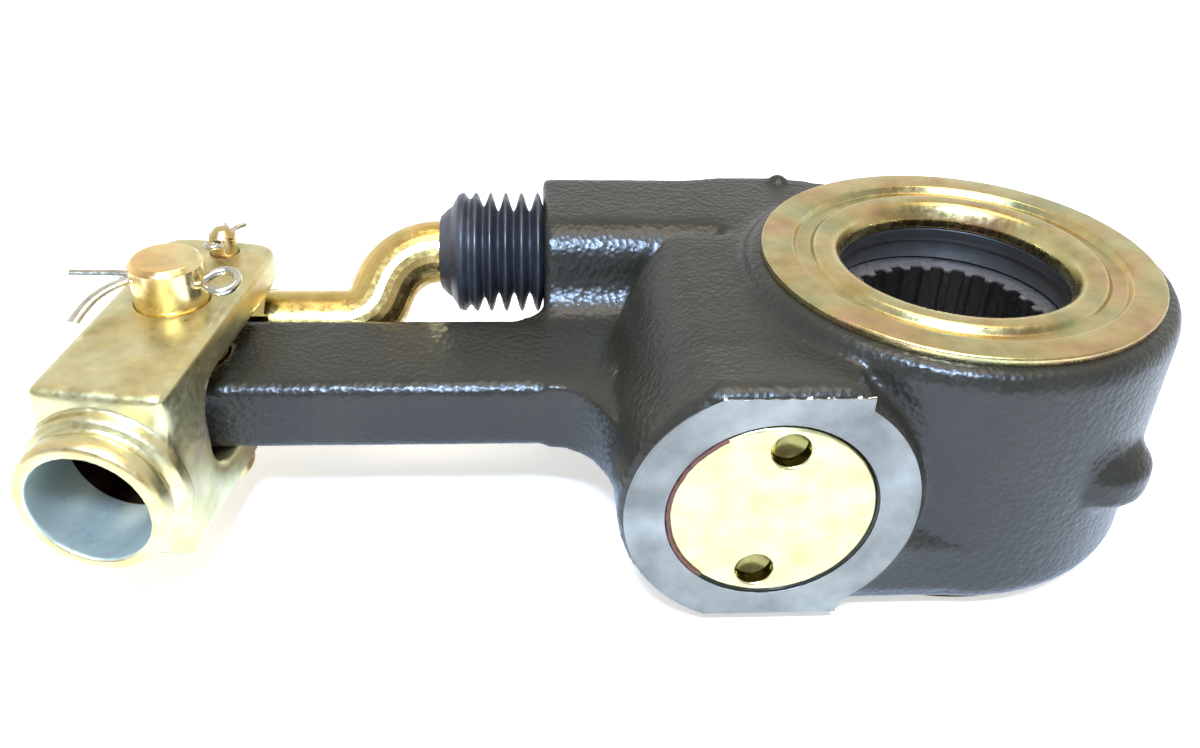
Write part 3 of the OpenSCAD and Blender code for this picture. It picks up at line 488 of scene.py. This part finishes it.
def welded(node, flat_degrees=0):
    """Copy of a CAD piece's mesh with its doubles merged, and its flat triangles too if an angle is given."""
    mesh = NODES[node].data.copy()
    shape = bmesh.new()
    shape.from_mesh(mesh)
    bmesh.ops.remove_doubles(shape, verts=shape.verts, dist=2e-6)
    if flat_degrees:
        bmesh.ops.dissolve_limit(shape, angle_limit=math.radians(flat_degrees), verts=shape.verts, edges=shape.edges)
    shape.to_mesh(mesh)
    shape.free()
    return mesh


def softened(node, material, width_mm):
    """A CAD piece's own shape with its hard edges broken, as a new mesh."""
    made = link_object(node + "_softened", welded(node, 0.5), material)
    edge = made.modifiers.new("broken_edges", "BEVEL")
    edge.width = width_mm * MM
    edge.segments = 3
    edge.limit_method = "ANGLE"
    edge.angle_limit = math.radians(40)
    edge.use_clamp_overlap = True
    made = flatten(made)
    shade(made.data)
    return made


def joined(name, pieces):
    """Several shapes as one mesh object, with their materials kept."""
    shape = bmesh.new()
    mesh = bpy.data.meshes.new(name)
    for piece in pieces:
        places = []
        for finish in piece.data.materials:
            if mesh.materials.find(finish.name) < 0:
                mesh.materials.append(finish)
            places.append(mesh.materials.find(finish.name))
        for face in piece.data.polygons:
            face.material_index = places[face.material_index]
        shape.from_mesh(piece.data)
        bpy.data.objects.remove(piece)
    shape.to_mesh(mesh)
    shape.free()
    return put(name, mesh)


def stand_for(made, body, slot, *nodes):
    """Puts a piece on its body, in place of the CAD nodes named, which it hides; the slot is not used."""
    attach(made, body)
    if nodes:
        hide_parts(*nodes)


ALONG_WORM = Matrix.Translation(Vector((WORM_AXIS.x, 0, 0))) @ Matrix.Rotation(math.radians(90), 4, "X")
AT_CLEVIS = Matrix.Translation(CLEVIS_PIN) @ Matrix.Rotation(CLEVIS_TURN, 4, "Z")


# Casting

def recelled(made, cell):
    """The object's shape in even cells, which smoothing can round."""
    cells = made.modifiers.new("cells", "REMESH")
    cells.mode = "VOXEL"
    cells.voxel_size = cell
    return flatten(made)


def eased(made, turns, weight):
    """Rounds edges and corners; weight gives how much at each place, from 0 to 1."""
    group = made.vertex_groups.new(name="eased")
    for vertex in made.data.vertices:
        group.add([vertex.index], max(0.0, min(1.0, weight(vertex.co))), "REPLACE")
    ease = made.modifiers.new("ease", "SMOOTH")
    ease.factor = 0.5
    ease.iterations = turns
    ease.vertex_group = "eased"
    flatten(made)
    made.vertex_groups.clear()
    return made


def near_case_corner(place):
    """1 where the rack case's front edge runs out on the barrel's top, falling to 0 farther off."""
    corner = Vector((-30, 20, 22)) * MM
    fade = 14 * MM
    return 1.6 - (place - corner).length / fade


def brow_lift(place):
    """Rise of the barrel's flat top behind the machined face, where the cast skin stands proud of the cut."""
    rise = 1.1 * MM
    steep = 3.2 * MM
    fade = 12 * MM
    half_width = 14 * MM
    side_fade = 4 * MM
    behind = place.y - FACE_Y
    across = abs(place.x - WORM_AXIS.x)
    on_top = place.z >= FACE_HALF_FLAT - 1 * MM
    if not on_top or not 0 < behind < steep + fade or across > half_width:
        return 0.0
    front = 1 - (1 - min(1.0, behind / steep)) ** 2
    back = 1 - max(0.0, behind - steep) / fade
    side = min(1.0, (half_width - across) / side_fade)
    return rise * front * back * side


def housing_casting():
    """The casting, with the moulder's soft edges and fillets and a little sand left in its skin."""
    voxel = 0.75 * MM
    face_band = 3 * MM
    bare_band = 0.6 * MM
    sand = 0.045 * MM
    made = recelled(link_object("housing_casting", welded("housing"), CASTING), voxel)
    eased(made, 9, lambda place: (place.y - FACE_Y) / face_band - 0.2)
    eased(made, 24, near_case_corner)
    skin = made.data.vertices
    for vertex in skin:
        vertex.co.z += brow_lift(vertex.co)
    made.data.update()
    normals = [vertex.normal.copy() for vertex in skin]
    for vertex, normal in zip(skin, normals):
        if vertex.co.y > FACE_Y + bare_band:
            lift = noise.noise(vertex.co * per_mm(2.2)) + 0.6 * noise.noise(vertex.co * per_mm(7))
            vertex.co += normal * sand * lift
    shade(made.data, 60)
    paint(made.data, CASTING)
    return made


def front_face():
    """Machined ring round the end plug, with the casting's flats at top and bottom, a corner at the drum's
    side and a ragged top edge."""
    barrel_r = 24.2 * MM
    corner = 13.5 * MM
    thick = 0.5 * MM
    ragged = 0.25 * MM
    ragged_points = 30
    plug_gap = 0.55 * MM
    clip = math.degrees(math.asin(FACE_HALF_FLAT / barrel_r))
    turn_in = math.degrees(math.acos(corner / barrel_r))
    flat_end = -barrel_r * math.cos(math.radians(clip))
    along_top = [corner + (flat_end - corner) * k / ragged_points for k in range(ragged_points)]
    outline = arc((0, 0), barrel_r, 180 - clip, 180 + clip, 60)
    outline += [(corner, -FACE_HALF_FLAT)]
    outline += arc((0, 0), barrel_r, -turn_in, turn_in, 48)
    outline += [(x, FACE_HALF_FLAT + ragged * noise.noise(Vector((x, 0, 0)) * per_mm(1.3))) for x in along_top]
    hole = circle((0, 0), PLUG_R + plug_gap, 128)
    made = plate("machined_front_face", [outline, hole], thick, 0.08 * MM, FACED)
    return settle(made, Matrix.Translation((0, FACE_Y, 0)) @ ALONG_WORM)


def face_burr():
    """Bright crumbs of burr that the facing cut left along the top edge."""
    crumbs = (  # start from the worm's axis, length and thickness, in mm
        (-9.9, 0.5, 0.34), (2.9, 0.7, 0.32), (5.9, 0.4, 0.2),
        (6.8, 0.3, 0.24), (10.6, 0.6, 0.33), (12.2, 1.3, 0.14))
    behind_face = 0.12 * MM
    rise = 0.2 * MM
    pieces = []
    for start, length, thick in crumbs:
        path = [(WORM_AXIS.x + (start + length * t) * MM, FACE_Y + behind_face, FACE_HALF_FLAT + rise * (t - 0.5))
                for t in (0, 0.5, 1)]
        pieces.append(wire("burr_crumb", path, thick * MM, COTTER_STEEL, 8))
    return joined("face_burr", pieces)


# Plug

def end_plug():
    """Turned plug with two drilled spanner holes, each with the drill's cone at its bottom; the holes' walls and
    cones are a darker zinc as painted shade.
    """
    hole_r = 3.15 * MM
    hole_span = 12.45 * MM
    hole_depth = 2.6 * MM
    tilt = math.radians(7.8)
    thick = 6 * MM
    back_thick = 0.8 * MM
    proud = 0.1 * MM
    cone_outline = in_mm(((3.2, 0), (0, -2.5), (0, -3.1), (3.2, -0.6)))
    holes = [(side * hole_span * math.sin(tilt), side * hole_span * math.cos(tilt)) for side in (-1, 1)]
    disc = plate("plug_disc", [circle((0, 0), PLUG_R, 128)] + [circle(h, hole_r, 48) for h in holes],
                 thick, 0.5 * MM, PLUG_ZINC)
    settle(disc, Matrix.Translation((0, 0, -thick / 2)))
    # The holes' walls, like their cones, take the darker zinc: painted shade inside the holes.
    disc.data.materials.append(HOLE_ZINC_PAINTED_SHADE)
    for face in disc.data.polygons:
        if any((face.center.xy - Vector(hole)).length < hole_r + 0.1 * MM for hole in holes):
            face.material_index = 1
    back = plate("plug_back", [circle((0, 0), PLUG_R - 0.2 * MM, 128)], back_thick, 0.2 * MM, PLUG_ZINC)
    settle(back, Matrix.Translation((0, 0, -thick - back_thick / 2)))
    pieces = [disc, back]
    for hole in holes:
        cone = revolve("drill_cone", cone_outline, HOLE_ZINC_PAINTED_SHADE, 48)
        pieces.append(settle(cone, Matrix.Translation((hole[0], hole[1], -hole_depth))))
    made = joined("end_plug_turned", pieces)
    return settle(made, Matrix.Translation((0, FACE_Y - proud, 0)) @ ALONG_WORM)


def sealant_line():
    """Sealant squeezed out of the plug's thread, along part of its rim."""
    start, sweep, count = 120, 110, 40
    proud = 0.2 * MM
    places = []
    for k in range(count):
        turn = math.radians(start + sweep * k / (count - 1))
        wobble = 1 + 0.012 * noise.noise(Vector((k * 0.45, 3.1, 0)))
        reach = (PLUG_R + 0.05 * MM) * wobble
        places.append((WORM_AXIS.x + reach * math.cos(turn), FACE_Y - proud, reach * math.sin(turn)))
    return wire("sealant_line", places, 0.38 * MM, SEALANT, 8)


# Covers and seals

def seated(made, low, high, upside_down):
    """Sets a ring that stands on Z = 0 into its box, as it is or upside down."""
    if upside_down:
        return settle(made, Matrix.Translation((0, 0, high.z)) @ Matrix.Rotation(math.pi, 4, "X"))
    return settle(made, Matrix.Translation((0, 0, low.z)))


def pressed_cover(name, low, high, upside_down):
    """Pressed ring: flat flange, a groove, then a bead rolled over into the hole."""
    flange = (high.x - low.x) / 2
    top = high.z - low.z
    sheet = 1.5 * MM
    hole = SPLINE_R + 1.45 * MM
    groove = top - 1.3 * MM
    bead = top - 0.05 * MM
    underside = top - 2.6 * MM
    profile = [
        (flange, top - sheet), (flange, top, 0.5 * MM), (hole + 9.2 * MM, top, 0.7 * MM),
        (hole + 8.4 * MM, groove, 0.6 * MM), (hole + 5.9 * MM, groove, 0.6 * MM),
        (hole + 5.1 * MM, bead, 1.5 * MM), (hole + 1.4 * MM, bead, 2.6 * MM), (hole, top - 3 * MM, 2.0 * MM),
        (hole, 0), (hole + 1.1 * MM, 0), (hole + 1.2 * MM, underside, 1.0 * MM), (hole + 4.4 * MM, top - 1.8 * MM),
        (hole + 5.2 * MM, underside), (hole + 9.2 * MM, underside), (hole + 9.8 * MM, top - sheet)]
    made = revolve(name, rounded(profile, 0.2 * MM), ZINC, 192)
    return seated(made, low, high, upside_down)


def hub_seal(name, node, upside_down):
    """Rubber ring on the hub's end whose lip bulges in under the cover's rolled edge."""
    low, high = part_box(node)
    outer = (high.x - low.x) / 2
    tall = high.z - low.z
    wall = SPLINE_R + 3 * MM
    lip = SPLINE_R + 1.75 * MM
    lip_top = tall - 1.7 * MM
    shoulder = wall + 0.9 * MM
    profile = [
        (wall, 0), (outer, 0), (outer, tall), (shoulder, tall), (shoulder, lip_top),
        (lip, lip_top, 0.5 * MM), (lip, lip_top - 2.2 * MM, 0.6 * MM), (wall, lip_top - 3.2 * MM)]
    made = revolve(name, rounded(profile, 0.2 * MM), SEAL_RUBBER, 128)
    return seated(made, low, high, upside_down)


# Boot

def bellows_tree():
    """Geometry Nodes tree: a sleeve along X with ridges that start close together and shallow, then open out."""
    tree = bpy.data.node_groups.new("bellows", "GeometryNodeTree")
    tree.interface.new_socket("Geometry", in_out="OUTPUT", socket_type="NodeSocketGeometry")
    for label in ("Length", "Ridge", "Shallow", "Deep", "Ridges"):
        tree.interface.new_socket(label, in_out="INPUT", socket_type="NodeSocketFloat")
    tree.interface.new_socket("Material", in_out="INPUT", socket_type="NodeSocketMaterial")
    given = tree.nodes.new("NodeGroupInput").outputs
    last_ridge = 0.927
    opening = 0.909
    end = add(tree, "ShaderNodeCombineXYZ", None, X=given["Length"]).outputs["Vector"]
    line = add(tree, "GeometryNodeCurvePrimitiveLine", None, End=end).outputs["Curve"]
    fine = add(tree, "GeometryNodeResampleCurve", {"Count": 220}, Curve=line).outputs["Curve"]
    along = add(tree, "GeometryNodeSplineParameter").outputs["Factor"]
    opened = maths(tree, "POWER", maths(tree, "DIVIDE", along, last_ridge), opening)
    phase = maths(tree, "MULTIPLY", opened, maths(tree, "SUBTRACT", given["Ridges"], 1.0))
    held = maths(tree, "MINIMUM", phase, maths(tree, "SUBTRACT", given["Ridges"], 0.5))
    fold = maths(tree, "PINGPONG", held, 0.5)
    round_off = {"interpolation_type": "SMOOTHSTEP", "From Min": 0.02, "From Max": 0.52}
    valley = add(tree, "ShaderNodeMapRange", round_off, Value=fold).outputs["Result"]
    depth = add(tree, "ShaderNodeMapRange", {"From Min": 0.5, "From Max": 2.1}, Value=phase,
                To_Min=given["Shallow"], To_Max=given["Deep"]).outputs["Result"]
    reach = maths(tree, "SUBTRACT", given["Ridge"], maths(tree, "MULTIPLY", depth, valley))
    section = add(tree, "GeometryNodeCurvePrimitiveCircle", {"Resolution": 96, "Radius": 1.0}).outputs["Curve"]
    skin = add(tree, "GeometryNodeCurveToMesh", None, Curve=fine, Profile_Curve=section, Scale=reach).outputs["Mesh"]
    real = add(tree, "GeometryNodeRealizeInstances", None, Geometry=skin).outputs["Geometry"]
    named = add(tree, "GeometryNodeSetMaterial", None, Geometry=real, Material=given["Material"]).outputs["Geometry"]
    out = tree.nodes.new("NodeGroupOutput")
    tree.links.new(named, out.inputs["Geometry"])
    return tree


def bellows(name, **values):
    """A plain mesh made by the bellows tree from its input values."""
    tree = bellows_tree()
    made = link_object(name, bpy.data.meshes.new(name), values["Material"])
    rule = made.modifiers.new("bellows", "NODES")
    rule.node_group = tree
    for item in tree.interface.items_tree:
        if item.in_out == "INPUT":
            rule[item.identifier] = values[item.name]
    made = flatten(made)
    shade(made.data, 180)
    return made


def boot():
    """Ridged rubber boot with a cuff that grips the rod."""
    cuff = 4.67 * MM
    low, high = BOOT_LOW.x, BOOT_HIGH.x
    ridge = size("boot").y / 2
    grip_r = ROD_R + 0.1 * MM
    sleeve = bellows("boot_sleeve", Length=high - low - cuff, Ridge=ridge, Shallow=1.2 * MM, Deep=3.7 * MM,
                     Ridges=6.0, Material=RUBBER)
    settle(sleeve, Matrix.Translation((low + cuff, RACK_AXIS.y, RACK_AXIS.z)))
    profile = [
        (grip_r, 0), (ROD_R + 0.9 * MM, 0, 0.4 * MM), (8.6 * MM, 1.4 * MM, 1.2 * MM), (9.3 * MM, 2.3 * MM, 0.8 * MM),
        (ridge - 0.3 * MM, 3.7 * MM, 0.9 * MM), (ridge, cuff, 0.2 * MM), (ridge - 0.5 * MM, cuff + 0.1 * MM),
        (grip_r, cuff)]
    grip = revolve("boot_cuff", rounded(profile, 0.3 * MM), RUBBER, 96)
    settle(grip, Matrix.Translation((low, RACK_AXIS.y, RACK_AXIS.z)) @ Matrix.Rotation(math.radians(90), 4, "Y"))
    return joined("rubber_boot", [sleeve, grip])


# Clevis and cotters

def clevis_fork():
    """Forged clevis with worn edges, drilled through to its slot. The neck points along its own -Y."""
    height = middle("clevis").z
    drill_y, drill_long = -9.2 * MM, 8 * MM
    bore_y, bore_scatter = (-38 * MM, -17.5 * MM), 0.6 * MM
    neck_y, neck_r = -30.2 * MM, 13.9 * MM
    pin_boss_r, link_boss_r = 8.2 * MM, 4 * MM
    worn_little = 0.045
    outline = [(0, 0), (PUSH_ROD_BORE_R, 0), (PUSH_ROD_BORE_R, drill_long), (0, drill_long)]
    drill = revolve("push_rod_drill", outline, CLEVIS_ZINC, 96)
    settle(drill, AT_CLEVIS @ Matrix.Translation((0, drill_y, height)) @ Matrix.Rotation(math.radians(90), 4, "X"))
    made = link_object("clevis_fork", welded("clevis"), CLEVIS_ZINC)
    through = made.modifiers.new("through", "BOOLEAN")
    through.operation = "DIFFERENCE"
    through.object = drill
    flatten(made)
    bpy.data.objects.remove(drill)
    to_clevis = AT_CLEVIS.inverted()
    link_pin = to_clevis @ middle("link_pin")
    made = recelled(settle(made, to_clevis), 0.42 * MM)

    def worn(place):
        """How much the edges wear: little on the neck and round the pins."""
        on_neck = place.y < neck_y and math.hypot(place.x, place.z - height) < neck_r
        at_pin = math.hypot(place.x, place.y) < pin_boss_r or (place.xy - link_pin.xy).length < link_boss_r
        return worn_little if on_neck or at_pin else 1.0

    eased(made, 100, worn)
    for vertex in made.data.vertices:
        reach = math.hypot(vertex.co.x, vertex.co.z - height)
        if bore_y[0] < vertex.co.y < bore_y[1] and abs(reach - PUSH_ROD_BORE_R) < bore_scatter:
            vertex.co.x *= PUSH_ROD_BORE_R / reach
            vertex.co.z = height + (vertex.co.z - height) * PUSH_ROD_BORE_R / reach
    paint(made.data, CLEVIS_ZINC)
    settle(made, AT_CLEVIS)
    shade(made.data, 60)
    return made


def clevis_pin():
    """Headed pin, its tail bevelled."""
    low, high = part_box("clevis_pin")
    head_r = size("clevis_pin").x / 2
    pin_r = head_r - 3 * MM
    under_head = low.z + 4 * MM
    tail = high.z + 1 * MM
    bevel = 0.9 * MM
    profile = [
        (0, low.z), (head_r, low.z, 0.8 * MM), (head_r, under_head, 0.5 * MM), (pin_r, under_head),
        (pin_r, tail - bevel, 0.3 * MM), (pin_r - bevel, tail, 0.3 * MM), (0, tail)]
    made = revolve("clevis_pin_turned", rounded(profile, 0.05 * MM), PIN_ZINC, 96)
    return settle(made, Matrix.Translation((CLEVIS_PIN.x, CLEVIS_PIN.y, 0)))


def clevis_cotter():
    """Split pin through the clevis pin's tail: a teardrop eye, one straight leg and one flat leg curled down
    over the ear."""
    gauge = 0.8 * MM
    height = 3.7 * MM
    flat, flat_gauge = 0.5, 1.15 * MM
    eye = [(6.0, 0.5, 0), (8.6, 3.1, 0.7), (11.0, 2.7, 0.6), (11.9, 0.6, 0.1),
           (10.6, -1.9, -0.4), (8.3, -2.0, -0.3), (6.0, -0.4, 0)]
    straight = [(-6.0, 0.3, 0.1), (-9.0, 0.1, 0.2), (-13.0, -0.5, 0.2), (-17.2, -1.2, 0.3)]
    curled = [(-6.0, -0.5, 0), (-8.3, -3.2, -0.2), (-10.4, -6.6, -0.9), (-11.4, -9.8, -1.9), (-11.7, -12.4, -2.6)]
    pieces = [wire("cotter_part", in_mm(path), gauge, COTTER_STEEL) for path in (eye, straight)]
    blade = wire("cotter_blade", in_mm((x, y, z / flat) for x, y, z in curled), flat_gauge, COTTER_STEEL)
    pieces.append(settle(blade, Matrix.Diagonal((1, 1, flat, 1))))
    made = joined("clevis_cotter_bent", pieces)
    return settle(made, AT_CLEVIS @ Matrix.Translation((0, 0, TOP_EAR + height)))


def link_cotter():
    """Small split pin whose eye faces the front."""
    gauge = 0.5 * MM
    height = 2.4 * MM
    place = middle("link_pin")
    eye = [(0.3, -2.3, 0), (1.3, -3.6, 0.5), (1.1, -5.0, 0.9), (0, -5.6, 1.0),
           (-1.1, -5.0, 0.9), (-1.3, -3.6, 0.5), (-0.3, -2.3, 0)]
    legs = [[(0.25, 2.2, 0), (0.6, 4.2, 0.1), (2.0, 6.4, 0.2)], [(-0.25, 2.2, 0), (-0.6, 4.2, 0), (-2.0, 6.4, -0.2)]]
    pieces = [wire("link_cotter_part", in_mm(path), gauge, COTTER_STEEL) for path in [eye] + legs]
    made = joined("link_cotter_bent", pieces)
    turn = Matrix.Rotation(CLEVIS_TURN, 4, "Z")
    return settle(made, Matrix.Translation((place.x, place.y, TOP_EAR + height)) @ turn)


# Camera, light and floor

def photo_camera():
    """The photograph's own view: place and axes from a solve on the arm, the pin and the covers."""
    place = Vector((-77.49, -177.53, 118.06)) * MM
    right = Vector((0.99790, -0.05693, 0.03075))
    down = Vector((-0.00554, -0.54870, -0.83600))
    ahead = Vector((0.06447, 0.83408, -0.54787))
    focal_px = 1130.3
    photo_width_px = 1200
    data = bpy.data.cameras.new("photo_camera")
    data.sensor_width = 36
    data.lens = 36 * focal_px / photo_width_px
    data.clip_start = 0.01
    made = put("photo_camera", data)
    turn = Matrix((right, -down, -ahead)).transposed().to_4x4()
    made.matrix_world = Matrix.Translation(place) @ turn
    bpy.context.scene.camera = made


def softbox(name, place, aim, width, height, watts, colour):
    """Rectangular area light at a place, turned to its aim."""
    data = bpy.data.lights.new(name, "AREA")
    data.shape = "RECTANGLE"
    data.size = width
    data.size_y = height
    data.energy = watts
    data.color = linear(colour)[:3]
    turn = (Vector(place) - Vector(aim)).to_track_quat("Z", "Y").to_matrix().to_4x4()
    put(name, data).matrix_world = Matrix.Translation(place) @ turn


def studio():
    """White room: a pale back wall that the metal mirrors, a dim front, a warm ceiling, a cool window over
    the camera and a white table that glows a little for the camera."""
    scene = bpy.context.scene
    scene.view_settings.view_transform = "Standard"
    world = bpy.data.worlds.new("studio")
    world.use_nodes = True
    scene.world = world
    tree = world.node_tree
    tree.nodes.clear()
    path = add(tree, "ShaderNodeLightPath").outputs
    seen = maths(tree, "MAXIMUM", path["Is Camera Ray"], path["Is Transmission Ray"])
    way = add(tree, "ShaderNodeTexCoord").outputs["Generated"]
    split = add(tree, "ShaderNodeSeparateXYZ", None, Vector=way).outputs
    walls = ramp(tree, split["Z"], [(0.1, "#ffffff"), (0.4, "#d4d4d3"), (0.7, "#d2d1ce"), (0.95, "#bcb09c")])
    depth = add(tree, "ShaderNodeMapRange", {"From Min": -0.6, "From Max": 0.1, "To Min": 0.55, "To Max": 1.4},
                Value=split["Y"]).outputs["Result"]
    strength = maths(tree, "MAXIMUM", seen, depth)
    sky = add(tree, "ShaderNodeBackground", None, Color=walls, Strength=strength).outputs["Background"]
    out = add(tree, "ShaderNodeOutputWorld")
    tree.links.new(sky, out.inputs["Surface"])

    middle_of_part = (-0.06, 0, 0)
    softbox("window", (-0.12, -0.36, 0.5), middle_of_part, 0.15, 0.1, 12.0, "#bcd8ff")
    softbox("ceiling", (0.0, 0.0, 0.7), middle_of_part, 0.4, 0.4, 3.0, "#fff2dc")

    floor_z = LOW_COVER_LOW.z
    reach = 3.0
    mesh = bpy.data.meshes.new("floor")
    corners = [(x * reach, y * reach, floor_z) for x, y in ((-1, -1), (1, -1), (1, 1), (-1, 1))]
    mesh.from_pydata(corners, [], [(0, 1, 2, 3)])
    paper, tree, shader = new_material("white_table_paper", Roughness=0.8, Base_Color=linear("#f2f2f0"))
    path = add(tree, "ShaderNodeLightPath").outputs
    glow = add(tree, "ShaderNodeMapRange", {"To Max": 0.55}, Value=path["Is Camera Ray"]).outputs["Result"]
    shader.inputs["Emission Color"].default_value = linear("#ffffff")
    tree.links.new(glow, shader.inputs["Emission Strength"])
    floor = link_object("floor", mesh, paper)


# Assembly

photo_camera()
studio()

stand_for(housing_casting(), "body", "cast_iron", "housing")
stand_for(front_face(), "body", "steel")
stand_for(face_burr(), "body", "steel")
stand_for(end_plug(), "body", "zinc", "end_plug")
stand_for(sealant_line(), "body", "rubber")
stand_for(pressed_cover("top_cover_pressed", COVER_LOW, COVER_HIGH, False), "body", "zinc", "top_cover")
stand_for(pressed_cover("bottom_cover_pressed", LOW_COVER_LOW, LOW_COVER_HIGH, True), "body", "zinc", "bottom_cover")
stand_for(hub_seal("upper_seal_lips", "upper_seal", False), "body", "rubber", "upper_seal")
stand_for(hub_seal("lower_seal_lips", "lower_seal", True), "body", "rubber", "lower_seal")
stand_for(softened("grease_fitting", COTTER_STEEL, 0.25), "body", "steel", "grease_fitting")
stand_for(clevis_fork(), "clevis", "zinc", "clevis")
stand_for(clevis_pin(), "clevis", "zinc", "clevis_pin")
stand_for(softened("link_pin", ZINC, 0.5), "clevis", "zinc", "link_pin")
stand_for(clevis_cotter(), "clevis", "steel", "clevis_cotter")
stand_for(link_cotter(), "clevis", "steel", "link_cotter")

rubber_boot = boot()
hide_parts("boot")
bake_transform(rubber_boot)

FINISHES = {
    SPLINE_STEEL: ("worm_wheel",),
    GEAR_STEEL: ("worm", "pinion", "clutch_spring", "pressure_spring", "outer_race", "bearing_balls",
                 "inner_race", "rack", "rack_pin"),
    BRONZE: ("arm_bushing", "worm_bushing", "upper_bushing", "lower_bushing", "rack_bush"),
    SEAL_RUBBER: ("plug_seal", "hex_seal"),
    LINK_ZINC: ("link_rod",),
}
for finish, names in FINISHES.items():
    for name in names:
        paint(NODES[name].data, finish)
